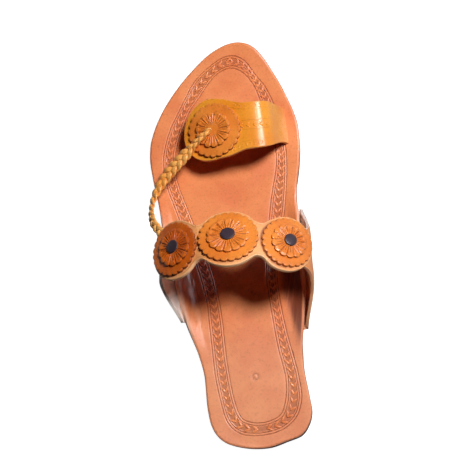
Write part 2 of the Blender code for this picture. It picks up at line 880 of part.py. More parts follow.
def braid(toe_seat, parts):
    """One plaited wall: its two edges swell in turn, and its strips rise from side to side."""
    route = braid_route(toe_seat)
    at, marks = arc_curve([point for point, face in route])
    length = marks[-1]
    knots = [marks[CURVE_SAMPLES * k] for k in range(len(route))]
    faces = [reader(list(zip(knots, (face[axis] for point, face in route)))) for axis in range(3)]
    count = round(length / BRAID_PITCH * BRAID_STEPS_PER_PITCH)

    def section(distance, turn):
        """Place on the braid's skin: turn 0 is its right edge, a quarter turn its face."""
        tangent = (at(distance + NUDGE) - at(distance - NUDGE)).normalized()
        face = Vector([read(distance) for read in faces])
        across = tangent.cross(face).normalized()
        up = across.cross(tangent)
        phase = 2 * math.pi * distance / BRAID_PITCH
        side = math.cos(turn)
        swell = 1 - BRAID_SWELL * (1 - math.cos(phase + (0 if side > 0 else math.pi)))
        rise = 1 - BRAID_RISE * (1 - math.cos(phase + BRAID_TWIST * side * math.pi))
        out = across * side * BRAID_WIDTH / 2 * swell
        return at(distance) + out + up * math.sin(turn) * BRAID_WALL / 2 * rise

    sheet = bmesh.new()
    bmesh.ops.create_cone(sheet, cap_ends=True, segments=BRAID_SIDES, radius1=1.0, radius2=1.0, depth=2.0)
    sides = [edge_ for edge_ in sheet.edges if abs(edge_.verts[0].co.z - edge_.verts[1].co.z) > 1]
    bmesh.ops.subdivide_edges(sheet, edges=sides, cuts=count - 1, use_grid_fill=True)
    for vert in sheet.verts:
        distance = length * min(max((vert.co.z + 1) / 2, 0.0), 1.0)
        vert.co = section(distance, math.atan2(vert.co.y, vert.co.x))
    bmesh.ops.recalc_face_normals(sheet, faces=sheet.faces[:])
    add("braid", sheet, "braid_leather", parts)


def main():
    for old in list(bpy.data.objects):
        bpy.data.objects.remove(old)
    parts = collection(OBJECT_NAME)
    cutters = collection("cutters")
    outsole(parts, cutters)
    heel_lifts(parts)
    insole(parts, cutters)
    ear(-1, "ear_lateral", parts)
    ear(1, "ear_medial", parts)
    instep_strap(parts)
    toe_band(parts)
    toe_post(parts)
    toe_seat = seat_on(band_point, BAND_LOBE - TOE_SEAT_SHIFT, TOE_SEAT_DROP)
    rosette("lateral", seat_on(strap_point, -LOBE_SPACING, 0.0), FLOWER_RADIUS, OUTER_FLOWER_SHIFT, True, parts)
    rosette("middle", seat_on(strap_point, 0.0, 0.0), FLOWER_RADIUS, 0.0, True, parts)
    rosette("medial", seat_on(strap_point, LOBE_SPACING, 0.0), FLOWER_RADIUS, 0.0, True, parts)
    rosette("toe", toe_seat, TOE_FLOWER_RADIUS, 0.0, False, parts)
    braid(toe_seat, parts)


main()
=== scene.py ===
"""Dresses the kolhapuri sandal's frame: fine leather pieces, tooling, plait, light and camera."""

import bisect
import math

import bmesh
import bpy
from mathutils import Matrix, Vector, noise


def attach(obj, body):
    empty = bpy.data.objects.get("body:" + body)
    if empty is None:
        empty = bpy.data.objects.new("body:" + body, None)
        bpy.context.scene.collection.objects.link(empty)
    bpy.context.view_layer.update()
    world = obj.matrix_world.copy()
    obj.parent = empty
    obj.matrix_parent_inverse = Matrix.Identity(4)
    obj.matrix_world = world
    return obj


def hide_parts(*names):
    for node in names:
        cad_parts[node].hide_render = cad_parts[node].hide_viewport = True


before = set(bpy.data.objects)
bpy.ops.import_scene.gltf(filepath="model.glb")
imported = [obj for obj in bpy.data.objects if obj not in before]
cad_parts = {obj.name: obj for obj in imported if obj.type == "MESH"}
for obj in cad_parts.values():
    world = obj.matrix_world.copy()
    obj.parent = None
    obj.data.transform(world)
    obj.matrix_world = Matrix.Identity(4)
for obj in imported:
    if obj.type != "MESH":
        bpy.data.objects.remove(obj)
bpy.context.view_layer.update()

MM = 0.001

# Sole, as in the solids
SOLE_LENGTH = 0.262
BALL_WIDTH = 0.0955
HEEL_SEAT = 0.032
OUTSOLE_WALL = 0.0045
INSOLE_WALL = 0.003
HEEL_LENGTH = 0.070
LIFT_WALL = 0.004
LIFT_COUNT = 2
TOE_SPRING = 0.0045
SEAM = 0.0003
WAIST_END = 0.535
TREAD_END = 0.890
STRAP_PLACE = 0.456
BAND_PLACE = 0.760
WING_PLACE = 0.435
WING_BACK = 0.062
WING_FRONT = 0.052
WING_REACH = 0.0072
WING_RADIUS = 0.008
WING_TURN = math.radians(62.0)
BEND_INSET = 0.0065

# Straps, as in the solids
STRAP_WALL = 0.0024
STRAP_RISE = 0.057
STRAP_SHIFT = -0.0032
STRAP_TURN = math.radians(4.6)
STRAP_BOW = 0.0028
BOW_START = 0.30
BOW_END = 0.75
LOBE_RADIUS = 0.0197
LOBE_SPACING = 0.0362
NECK_WIDTH = 0.024
EAR_WALL = 0.0018
EAR_TUCK = 0.005
EAR_BACK_OUTER = 0.038
EAR_BACK_INNER = 0.052
EAR_FRONT_OUTER = 0.022
EAR_FRONT_INNER = 0.027
EAR_DRAW = 0.85
EAR_FULLNESS = 0.36
EAR_LAP = 0.008
EAR_TOP_BACK = 0.0135
EAR_TOP_FRONT = 0.0025
BAND_WALL = 0.0022
BAND_INSET = 0.0074
BAND_SPAN = 0.066
BAND_RISE = 0.0276
BAND_FOOT = 0.024
BAND_WIDTH = 0.030
TOE_LOBE_RADIUS = 0.0202
TOE_SEAT_SHIFT = 0.0020
TOE_SEAT_DROP = 0.0014
POST_WALL = 0.0022
POST_WIDTH = 0.012
POST_SETBACK = 0.028
POST_LAP = 0.010
POST_FULLNESS = 0.4

# Rosettes and braid, as in the solids
DISC_RADIUS = 0.0177
DISC_WALL = 0.0018
DISC_SCALLOPS = 24
FLOWER_RADIUS = 0.0124
TOE_FLOWER_RADIUS = 0.0117
OUTER_FLOWER_SHIFT = 0.0020
FLOWER_WALL = 0.0010
PETALS = 14
PETAL_NOTCH = 0.0016
PETAL_CUP = 0.0003
CENTRE_RADIUS = 0.0042
CENTRE_WALL = 0.0008
SEAT_REACH = 0.75
BRAID_WIDTH = 0.0084
BRAID_WALL = 0.0032
BRAID_LAP = 0.0030
BRAID_LANDING = 0.13
BRAID_BEARING = math.radians(33.0)

# Fineness of the curves, and the small step that finds a direction
CURVE_SAMPLES = 24
NUDGE = 0.0002
STRAP_SAMPLES = 240
STRAP_MARGIN = 1.1
LAST_SAMPLE = 1.001

# Outline of the sole: station share of the length, then outer and inner edge, shares of the ball width
OUTLINE = (
    (0.000, 0.010, 0.010),
    (0.008, -0.147, 0.130),
    (0.019, -0.226, 0.240),
    (0.038, -0.284, 0.290),
    (0.057, -0.311, 0.316),
    (0.076, -0.324, 0.326),
    (0.115, -0.331, 0.320),
    (0.172, -0.327, 0.310),
    (0.229, -0.346, 0.320),
    (0.286, -0.368, 0.332),
    (0.344, -0.380, 0.341),
    (0.420, -0.398, 0.345),
    (0.496, -0.442, 0.356),
    (0.553, -0.480, 0.378),
    (0.611, -0.515, 0.416),
    (0.668, -0.535, 0.456),
    (0.725, -0.545, 0.480),
    (0.763, -0.534, 0.483),
    (0.802, -0.498, 0.468),
    (0.840, -0.444, 0.438),
    (0.878, -0.372, 0.404),
    (0.916, -0.281, 0.361),
    (0.954, -0.163, 0.311),
    (0.977, -0.074, 0.268),
    (0.992, 0.014, 0.216),
    (1.000, 0.125, 0.125),
)

# Outermost tooled line: share of the way from its heel end to its toe end, then both sides
OUTER_LINE = (
    (0.000, 0.000, 0.000),
    (0.010, -0.139, 0.139),
    (0.051, -0.223, 0.249),
    (0.091, -0.241, 0.274),
    (0.132, -0.253, 0.270),
    (0.172, -0.259, 0.257),
    (0.254, -0.259, 0.227),
    (0.335, -0.259, 0.213),
    (0.375, -0.272, 0.211),
    (0.477, -0.325, 0.257),
    (0.558, -0.380, 0.314),
    (0.619, -0.419, 0.346),
    (0.659, -0.445, 0.363),
    (0.700, -0.459, 0.375),
    (0.740, -0.453, 0.379),
    (0.781, -0.427, 0.373),
    (0.822, -0.384, 0.356),
    (0.862, -0.323, 0.332),
    (0.903, -0.257, 0.296),
    (0.943, -0.186, 0.236),
    (0.984, -0.045, 0.172),
    (1.000, 0.078, 0.078),
)
OUTER_LINE_ENDS = (0.029, 0.9695)

# Innermost tooled line, in the same way
INNER_LINE = (
    (0.000, 0.005, 0.005),
    (0.022, -0.126, 0.139),
    (0.108, -0.165, 0.186),
    (0.195, -0.174, 0.162),
    (0.281, -0.173, 0.150),
    (0.368, -0.188, 0.143),
    (0.563, -0.298, 0.215),
    (0.628, -0.340, 0.253),
    (0.671, -0.366, 0.285),
    (0.714, -0.380, 0.306),
    (0.758, -0.372, 0.311),
    (0.801, -0.346, 0.306),
    (0.844, -0.298, 0.285),
    (0.887, -0.244, 0.253),
    (0.931, -0.155, 0.228),
    (0.974, -0.066, 0.174),
    (1.000, 0.068, 0.068),
)
INNER_LINE_ENDS = (0.057, 0.939)

# Slope of the strap down from its apex: share of the lobe spacing, then degrees
STRAP_SLOPE = (
    (0.00, 0.0),
    (0.38, 6.5),
    (0.62, 30.0),
    (1.00, 36.7),
    (1.60, 48.0),
)

# Tilt of the strap down toward the toe: share of the lobe spacing, then degrees, outer and inner side
STRAP_TILT = (
    (0.00, 25.0, 25.0),
    (0.34, 24.6, 24.9),
    (0.59, 17.0, 24.6),
    (1.00, 16.5, 24.5),
    (1.60, 16.2, 24.5),
)

# Middle of the toe band: share of its span from the foot, share of its rise, shift to the toe as a
# share of the band width
BAND_LINE = (
    (0.000, 0.000, 0.070),
    (0.018, 0.120, 0.066),
    (0.085, 0.480, 0.020),
    (0.160, 0.820, -0.050),
    (0.245, 0.985, -0.090),
    (0.357, 1.000, -0.088),
    (0.496, 0.925, -0.055),
    (0.713, 0.780, 0.000),
    (0.853, 0.652, -0.020),
    (1.000, 0.500, -0.060),
)
BAND_LOBE_ROW = 7

# Half-width of the toe band: share of the way to the lobe, then shares of the foot, band and lobe
BAND_SIDES = (
    (0.00, 0.50, 0.00, 0.00),
    (0.10, 0.50, 0.00, 0.00),
    (0.48, 0.00, 0.50, 0.00),
    (0.66, 0.00, 0.51, 0.00),
    (0.88, 0.00, 0.00, 0.95),
    (1.00, 0.00, 0.00, 1.00),
)

# Free run of the braid: shares of the way across and back to its end, share of the end's height over
# the insole, then the direction that its face looks
BRAID_RUN = (
    (0.640, 0.246, 0.56, (-0.46, -0.15, 0.87)),
    (0.912, 0.365, 0.40, (-0.56, -0.25, 0.79)),
    (1.115, 0.524, 0.38, (-0.74, -0.18, 0.65)),
    (1.177, 0.653, 0.50, (-0.84, 0.00, 0.54)),
    (1.149, 0.808, 0.76, (-0.80, 0.15, 0.58)),
)

# Tooled lines of the insole, and the border between them
LINE_GAP = 1.5 * MM
LINE_WIDTH = 0.36 * MM
LINE_DEPTH = 0.32 * MM
BORDER_SINK = 0.22 * MM
BORDER_SHOULDER = 0.8 * MM
BORDER_DARK = 0.45
BORDER_SPREAD = math.radians(35)
LEAF_PITCH = 4.7 * MM

# A pressed line across: place in line widths, share of its depth, how dark
LINE_SHAPE = (
    (-1.6, 0.0, 0.0),
    (-0.9, 0.12, 0.1),
    (-0.4, 0.85, 0.6),
    (0.0, 1.0, 0.8),
    (0.4, 0.85, 0.6),
    (0.9, 0.12, 0.1),
    (1.6, 0.0, 0.0),
)

# Raised marks: length, width and height
BORDER_LEAF = (5.1 * MM, 1.8 * MM, 0.45 * MM)
BAND_LEAF = (3.4 * MM, 1.2 * MM, 0.5 * MM)
LOOP_STROKE = (1.05 * MM, 0.55 * MM, 0.30 * MM)

# Unevenness of the leather: fineness across, slant, fineness along, and seed
CREASE_GRAIN = (700, -200, 90, 3.0)
FOLD_GRAIN = (420, 160, 60, 9.0)
WORN_GRAIN = (60, 0, 60, 1.0)
STREAK_GRAIN = (900, -260, 40, 5.0)
STRAP_GRAIN = (90, 0, 90, 4.0)
BAND_GRAIN = (110, 0, 110, 7.0)
CENTRE_GRAIN = (2200, 0, 2200, 2.0)

# Camera of the photograph: its place over the ground, its lens, and how the toe leans in the picture
CAMERA_PLACE = Vector((0.040, -0.054, 0.6735))
CAMERA_AIM = Vector((-0.001, 0.098, 0.020))
CAMERA_LENS = 82.0
SENSOR = 36.0
TOE_LEAN = math.radians(6.75)


def reader(rows, column=1, warp=float):
    """Makes a smooth reading of a table's column against its first, with no overshoot between rows."""
    xs = [warp(row[0]) for row in rows]
    ys = [row[column] for row in rows]
    steps = [b - a for a, b in zip(xs, xs[1:])]
    rises = [(b - a) / step for a, b, step in zip(ys, ys[1:], steps)]
    slopes = [rises[0]]
    for k in range(1, len(rises)):
        before, after = rises[k - 1], rises[k]
        near, far = 2 * steps[k] + steps[k - 1], steps[k] + 2 * steps[k - 1]
        turns = before * after <= 0
        slopes.append(0.0 if turns else (near + far) / (near / before + far / after))
    slopes.append(rises[-1])

    def read(value):
        x = min(max(warp(value), xs[0]), xs[-1])
        k = min(bisect.bisect_right(xs, x) - 1, len(steps) - 1)
        t = (x - xs[k]) / steps[k]
        start = ys[k] * (1 + 2 * t) * (1 - t) ** 2 + ys[k + 1] * (3 - 2 * t) * t * t
        return start + steps[k] * (slopes[k] * t * (1 - t) ** 2 - slopes[k + 1] * t * t * (1 - t))

    return read


def end_angle(share):
    """Turns a share of the length into an angle, so that round ends read smoothly."""
    return math.acos(1 - 2 * min(max(share, 0.0), 1.0))


def ease(share):
    t = min(max(share, 0.0), 1.0)
    return t * t * (3 - 2 * t)


def bump(distance, width):
    """A smooth hump, 1 at no distance and 0 from the width on."""
    return 1 - ease(abs(distance) / width)


EDGES = {-1: reader(OUTLINE, 1, end_angle), 1: reader(OUTLINE, 2, end_angle)}


def edge(side, station):
    return BALL_WIDTH * EDGES[side](station / SOLE_LENGTH)


def middle(station):
    return (edge(-1, station) + edge(1, station)) / 2


def half_width(station):
    return (edge(1, station) - edge(-1, station)) / 2


def outsole_floor(station):
    heel = LIFT_COUNT * (LIFT_WALL + SEAM)
    waist = ease((station - HEEL_LENGTH) / (WAIST_END * SOLE_LENGTH - HEEL_LENGTH))
    toe = max(0.0, (station / SOLE_LENGTH - TREAD_END) / (1 - TREAD_END))
    return heel * (1 - waist) + TOE_SPRING * toe**2


def outsole_top(station):
    return outsole_floor(station) + OUTSOLE_WALL


def insole_top(station):
    return outsole_top(station) + SEAM + INSOLE_WALL


def place(x, station, z):
    return Vector((x, station - HEEL_SEAT, z))


def wing(station):
    """How far the insole's edge is turned up here, from 0 to 1."""
    away = station - WING_PLACE * SOLE_LENGTH
    reach = WING_BACK if away < 0 else WING_FRONT
    return math.cos(math.pi / 2 * min(1.0, abs(away) / reach)) ** 2


def bend_start(station):
    return half_width(station) - BEND_INSET


def insole_reach(station):
    return half_width(station) + WING_REACH * wing(station)


def insole_point(side, station, along):
    """Top of the insole at a distance along its surface from the middle line."""
    past = max(0.0, along - bend_start(station))
    arc = min(past, WING_RADIUS * WING_TURN * wing(station))
    turn = arc / WING_RADIUS
    flat = min(along, bend_start(station))
    out = flat + WING_RADIUS * math.sin(turn) + (past - arc) * math.cos(turn)
    up = WING_RADIUS * (1 - math.cos(turn)) + (past - arc) * math.sin(turn)
    return place(middle(station) + side * out, station, insole_top(station) + up)


def insole_face(x, station):
    return insole_point(math.copysign(1, x), station, abs(x))


def normal_of(surface, u, v):
    across = surface(u + NUDGE, v) - surface(u - NUDGE, v)
    along = surface(u, v + NUDGE) - surface(u, v - NUDGE)
    return across.cross(along).normalized()


def over(surface, u, v, height):
    return surface(u, v) + normal_of(surface, u, v) * height


def under_insole(side, station, along, depth):
    return over(insole_face, side * along, station, -depth)


def running_sum(angle_at, reach, count):
    """Runs and drops of a curve whose slope angle is known along it, at even distances."""
    step = reach / count
    runs, drops = [0.0], [0.0]
    for k in range(count):
        angle = angle_at((k + 0.5) * step)
        runs.append(runs[-1] + step * math.cos(angle))
        drops.append(drops[-1] + step * math.sin(angle))
    return step, runs, drops


SLOPE_AT = reader(STRAP_SLOPE)
TILT_AT = {-1: reader(STRAP_TILT, 1), 1: reader(STRAP_TILT, 2)}
STRAP_REACH = LOBE_SPACING + LOBE_RADIUS
STRAP_STEP, STRAP_RUNS, STRAP_DROPS = running_sum(
    lambda u: math.radians(SLOPE_AT(u / LOBE_SPACING)), STRAP_REACH * STRAP_MARGIN, STRAP_SAMPLES
)


def strap_point(u, v):
    """Outer face of the strap: u along it from the apex to the inner side, v toward the toe."""
    at = min(abs(u) / STRAP_STEP, len(STRAP_RUNS) - LAST_SAMPLE)
    k = int(at)
    run = STRAP_RUNS[k] + (at - k) * (STRAP_RUNS[k + 1] - STRAP_RUNS[k])
    drop = STRAP_DROPS[k] + (at - k) * (STRAP_DROPS[k + 1] - STRAP_DROPS[k])
    share = abs(u) / LOBE_SPACING
    tilt = math.radians(TILT_AT[1 if u > 0 else -1](share))
    station = STRAP_PLACE * SOLE_LENGTH
    apex = insole_top(station) + STRAP_RISE
    across, along = math.copysign(run, u), v * math.cos(tilt)
    x = STRAP_SHIFT + across * math.cos(STRAP_TURN) + along * math.sin(STRAP_TURN)
    ahead = along * math.cos(STRAP_TURN) - across * math.sin(STRAP_TURN)
    bow = STRAP_BOW * ease((share - BOW_START) / (BOW_END - BOW_START))
    return place(x, station + ahead - bow, apex - drop - v * math.sin(tilt))


def strap_half(u):
    """Half-width of the strap: three round lobes joined by hollow necks."""
    fillet_x = LOBE_SPACING / 2
    neck = NECK_WIDTH / 2
    fillet = (fillet_x**2 + neck**2 - LOBE_RADIUS**2) / (2 * (LOBE_RADIUS - neck))
    reach = fillet_x * fillet / (LOBE_RADIUS + fillet)
    away = abs(u) - fillet_x
    if abs(away) < reach:
        return neck + fillet - math.sqrt(fillet**2 - away**2)
    centre = 0.0 if away < 0 else LOBE_SPACING
    return math.sqrt(max(LOBE_RADIUS**2 - (abs(u) - centre) ** 2, 0.0))


def under_strap(u, v, depth):
    return over(strap_point, u, v, -depth)


def bezier(points, t):
    a, b, c, d = points
    s = 1 - t
    return a * s**3 + b * 3 * s * s * t + c * 3 * s * t * t + d * t**3


def ear_span(side):
    """How far the base of an ear reaches toward the heel and toward the toe."""
    if side < 0:
        return EAR_BACK_OUTER, EAR_FRONT_OUTER
    return EAR_BACK_INNER, EAR_FRONT_INNER


def ear_point(side, p, q):
    """Middle layer of an ear: p runs 0..4 from under the insole to under the lobe, q -1..1 to the toe."""
    back, front_reach = ear_span(side)
    station = STRAP_PLACE * SOLE_LENGTH + q * (back if q < 0 else front_reach)
    front = EAR_TOP_FRONT if side < 0 else EAR_TOP_BACK
    v = q * (EAR_TOP_BACK if q < 0 else front)
    low = INSOLE_WALL + SEAM + EAR_WALL / 2
    high = STRAP_WALL + SEAM + EAR_WALL / 2
    start = bend_start(station)
    end = insole_reach(station) + (1 - wing(station)) * (EAR_WALL + SEAM)
    leave = STRAP_REACH - EAR_LAP
    if p <= 1:
        return under_insole(side, station, start - (1 - p) * EAR_TUCK, low)
    if p <= 2:
        return under_insole(side, station, start + (p - 1) * (end - start), low)
    if p >= 3:
        return under_strap(side * (leave - (p - 3) * EAR_LAP), v, high)
    foot = under_insole(side, station, end, low)
    head = under_strap(side * leave, v, high)
    rising = Vector((side * math.cos(WING_TURN), 0, math.sin(WING_TURN)))
    rising = rising.lerp((head - foot).normalized(), EAR_DRAW * q * q)
    falling = (under_strap(side * (leave + NUDGE), v, high) - head).normalized()
    pull = EAR_FULLNESS * (head - foot).length
    return bezier((foot, foot + rising * pull, head + falling * pull, head), p - 2)


def distances(points):
    """How far along a line each of its points is."""
    marks = [0.0]
    for a, b in zip(points, points[1:]):
        marks.append(marks[-1] + (b - a).length)
    return marks


def stretch_at(marks, distance, first, last):
    """Which stretch of a line holds a distance, from first to last, and the share of that stretch."""
    k = min(max(bisect.bisect_right(marks, distance) - 1, first), last)
    return k, (distance - marks[k]) / (marks[k + 1] - marks[k])


def arc_curve(points):
    """A smooth curve through points: a function of the distance along it, and its length."""
    gaps = [(b - a).length for a, b in zip(points, points[1:])]
    tangents = [(points[1] - points[0]) / gaps[0]]
    for k in range(1, len(gaps)):
        before = (points[k] - points[k - 1]) / gaps[k - 1]
        after = (points[k + 1] - points[k]) / gaps[k]
        tangents.append((before * gaps[k] + after * gaps[k - 1]) / (gaps[k] + gaps[k - 1]))
    tangents.append((points[-1] - points[-2]) / gaps[-1])
    line = [points[0]]
    for k, gap in enumerate(gaps):
        reach = gap / 3
        knots = (
            points[k],
            points[k] + tangents[k] * reach,
            points[k + 1] - tangents[k + 1] * reach,
            points[k + 1],
        )
        line += [bezier(knots, (j + 1) / CURVE_SAMPLES) for j in range(CURVE_SAMPLES)]
    marks = distances(line)

    def at(distance):
        k, share = stretch_at(marks, distance, 0, len(line) - 2)
        return line[k].lerp(line[k + 1], share)

    return at, marks


def band_curve():
    station = BAND_PLACE * SOLE_LENGTH
    foot_x = edge(1, station) - BAND_INSET
    foot = insole_top(station)
    points = [place(foot_x, station + BAND_LINE[0][2] * BAND_WIDTH, foot - INSOLE_WALL)]
    for across, up, shift in BAND_LINE:
        x = foot_x - across * BAND_SPAN
        points.append(place(x, station + shift * BAND_WIDTH, foot + up * BAND_RISE))
    return arc_curve(points)


BAND_AT, BAND_MARKS = band_curve()
BAND_LOBE = BAND_MARKS[(BAND_LOBE_ROW + 1) * CURVE_SAMPLES]
BAND_END = BAND_LOBE + TOE_LOBE_RADIUS
BAND_HALF_ROWS = [
    (row[0], row[1] * BAND_FOOT + row[2] * BAND_WIDTH + row[3] * TOE_LOBE_RADIUS) for row in BAND_SIDES
]
BAND_HALF = reader(BAND_HALF_ROWS)


def band_point(u, v):
    """Outer face of the toe band: u along it from its foot, v toward the heel."""
    return BAND_AT(u) - Vector((0, v, 0))


def band_half(u):
    share = u / BAND_LOBE
    if share >= 1:
        return math.sqrt(max(TOE_LOBE_RADIUS**2 - (u - BAND_LOBE) ** 2, 0.0))
    foot_corner = 1.5 * MM
    round_off = math.sqrt(1 - (1 - min(u / foot_corner, 1.0)) ** 2)
    return BAND_HALF(share) * round_off


def post_point(p, v):
    """Middle layer of the toe post: p runs 0..3 from the slit up to the lobe's underside."""
    station = BAND_PLACE * SOLE_LENGTH
    x = edge(1, station) - BAND_INSET - POST_SETBACK
    depth = BAND_WALL + SEAM + POST_WALL / 2
    leave = BAND_LOBE - POST_LAP / 2

    def tab(u):
        return over(band_point, u, v, -depth)

    foot = place(x, station - v, insole_top(station))
    if p <= 1:
        return foot - Vector((0, 0, INSOLE_WALL * (1 - p)))
    if p >= 2:
        return tab(leave + (p - 2) * POST_LAP)
    head = tab(leave)
    leaving = (head - tab(leave + NUDGE)).normalized()
    pull = POST_FULLNESS * (head - foot).length
    return bezier((foot, foot + Vector((0, 0, pull)), head + leaving * pull, head), p - 1)


def seat_on(surface, u, v):
    """A bowed patch that fits the middle of a lobe, and the function of x and y that gives its points."""
    reach = SEAT_REACH * DISC_RADIUS
    middle_point = surface(u, v)
    normal = normal_of(surface, u, v)

    def slope(du, dv):
        return (surface(u + du, v + dv) - surface(u - du, v - dv)) / (2 * reach)

    def bow(du, dv):
        away = surface(u + du, v + dv) + surface(u - du, v - dv) - 2 * middle_point
        return away.dot(normal) / reach**2

    along, across = slope(reach, 0), slope(0, reach)
    bow_along, bow_across = bow(reach, 0), bow(0, reach)
    twist = (bow(reach, reach) - bow_along - bow_across) / 2

    def patch(x, y):
        rise = (bow_along * x * x + bow_across * y * y) / 2 + twist * x * y
        return middle_point + along * x + across * y + normal * rise

    return patch


# Node helpers for the materials


def add_node(tree, kind, x=0, y=0, **settings):
    node = tree.nodes.new(kind)
    node.location = (x, y)
    for key, value in settings.items():
        setattr(node, key, value)
    return node


def math_node(tree, operation, a, b, clamp=False):
    """Joins a socket with another socket or with a number."""
    node = add_node(tree, "ShaderNodeMath", operation=operation, use_clamp=clamp)
    tree.links.new(a, node.inputs[0])
    if isinstance(b, float):
        node.inputs[1].default_value = b
    else:
        tree.links.new(b, node.inputs[1])
    return node.outputs[0]


def mix_colour(tree, share, a, b):
    node = add_node(tree, "ShaderNodeMix", data_type="RGBA")
    for k, value in ((0, share), (6, a), (7, b)):
        tree.links.new(value, node.inputs[k])
    return node.outputs[2]


def noise_texture(tree, where, detail, roughness=0.5):
    node = add_node(tree, "ShaderNodeTexNoise")
    tree.links.new(where, node.inputs["Vector"])
    node.inputs["Detail"].default_value = detail
    node.inputs["Roughness"].default_value = roughness
    return node


def ramp(tree, value, low, high):
    node = add_node(tree, "ShaderNodeMapRange", interpolation_type="SMOOTHSTEP")
    tree.links.new(value, node.inputs[0])
    node.inputs[1].default_value = low
    node.inputs[2].default_value = high
    return node.outputs[0]


def new_group(name, inputs, outputs):
    group = bpy.data.node_groups.new(name, "ShaderNodeTree")
    for socket_name, kind, value in inputs:
        socket = group.interface.new_socket(socket_name, in_out="INPUT", socket_type=kind)
        if value is not None:
            socket.default_value = value
    for socket_name, kind in outputs:
        group.interface.new_socket(socket_name, in_out="OUTPUT", socket_type=kind)
    return group, add_node(group, "NodeGroupInput", -900), add_node(group, "NodeGroupOutput", 900)


# Hide: creases finer than its pores by a share, slow mottling, and scattered flecks
PORE_SCALE = 900.0
PORE_HEIGHT = 0.55
CREASE_SCALE = 0.45
MOTTLE_SCALE = 38.0
MOTTLE_RANGE = (0.36, 0.66)
FLECK_SCALE = 760.0
FLECK_RANGE = (0.50, 0.76)

# Dye: how dark flecks get, then the roughness of the polish and what mottling, tooling with its painted
# shade, and cuts add
FLECK_DYE = 0.24
POLISH_ROUGH = 0.26
MOTTLE_ROUGH = 0.14
GROOVE_AND_SHADE_ROUGH = 0.2
CUT_ROUGH = 0.4


def hide_grain_group():
    """Pores, fine creases and slow unevenness of tanned hide."""
    group, given, result = new_group(
        "hide grain",
        (("Vector", "NodeSocketVector", None), ("Pore Scale", "NodeSocketFloat", PORE_SCALE)),
        (("Height", "NodeSocketFloat"), ("Mottle", "NodeSocketFloat"), ("Fleck", "NodeSocketFloat")),
    )
    link = group.links.new
    where, pore_scale = given.outputs["Vector"], given.outputs["Pore Scale"]
    pores = add_node(group, "ShaderNodeTexVoronoi", feature="SMOOTH_F1")
    link(where, pores.inputs["Vector"])
    link(pore_scale, pores.inputs["Scale"])
    creases = noise_texture(group, where, detail=5.0, roughness=0.65)
    link(math_node(group, "MULTIPLY", pore_scale, CREASE_SCALE), creases.inputs["Scale"])
    slow = noise_texture(group, where, detail=6.0, roughness=0.62)
    slow.inputs["Scale"].default_value = MOTTLE_SCALE
    flecks = noise_texture(group, where, detail=4.0)
    flecks.inputs["Scale"].default_value = FLECK_SCALE
    raised = math_node(group, "MULTIPLY", pores.outputs["Distance"], PORE_HEIGHT)
    link(math_node(group, "ADD", raised, creases.outputs["Fac"]), result.inputs["Height"])
    link(ramp(group, slow.outputs["Fac"], *MOTTLE_RANGE), result.inputs["Mottle"])
    link(ramp(group, flecks.outputs["Fac"], *FLECK_RANGE), result.inputs["Fleck"])
    return group


def dye_and_shade_group():
    """Dye that gathers in tooled lines, is uneven over the hide and is paler where the leather is cut; the
    line colour also paints shade, and on the insole the cut colour also paints sheen.
    """
    group, given, result = new_group(
        "dye and painted shade",
        (
            ("Light", "NodeSocketColor", (0.8, 0.3, 0.1, 1)),
            ("Deep", "NodeSocketColor", (0.5, 0.15, 0.05, 1)),
            ("Line", "NodeSocketColor", (0.2, 0.06, 0.02, 1)),
            ("Cut", "NodeSocketColor", (0.6, 0.35, 0.2, 1)),
            ("Mottle", "NodeSocketFloat", 0.5),
            ("Fleck", "NodeSocketFloat", 0.0),
            ("Groove", "NodeSocketFloat", 0.0),
            ("Rim", "NodeSocketFloat", 0.0),
            ("Flesh", "NodeSocketFloat", 0.0),
        ),
        (("Color", "NodeSocketColor"), ("Roughness", "NodeSocketFloat")),
    )
    out = given.outputs
    dyed = mix_colour(group, out["Mottle"], out["Light"], out["Deep"])
    faint = math_node(group, "MULTIPLY", out["Fleck"], FLECK_DYE)
    dyed = mix_colour(group, faint, dyed, out["Line"])
    # tooled lines and painted shade take the line colour
    dyed = mix_colour(group, out["Groove"], dyed, out["Line"])
    # cut edges, the flesh side and, on the insole, painted sheen take the cut colour
    pale = math_node(group, "MAXIMUM", out["Rim"], out["Flesh"], clamp=True)
    dyed = mix_colour(group, pale, dyed, out["Cut"])
    group.links.new(dyed, result.inputs["Color"])
    worn = math_node(group, "MULTIPLY", out["Mottle"], MOTTLE_ROUGH)
    rough = math_node(group, "ADD", worn, POLISH_ROUGH)
    tooled = math_node(group, "MULTIPLY", out["Groove"], GROOVE_AND_SHADE_ROUGH)
    rough = math_node(group, "ADD", rough, tooled)
    cut = math_node(group, "MULTIPLY", pale, CUT_ROUGH)
    rough = math_node(group, "ADD", rough, cut, clamp=True)
    group.links.new(rough, result.inputs["Roughness"])
    return group


GRAIN = hide_grain_group()
DYE_AND_SHADE = dye_and_shade_group()


# Marks on each vertex: tooled lines with painted shade, the cut edge (on the insole also painted sheen),
# and the flesh side
MARKS = ("groove", "rim", "flesh")


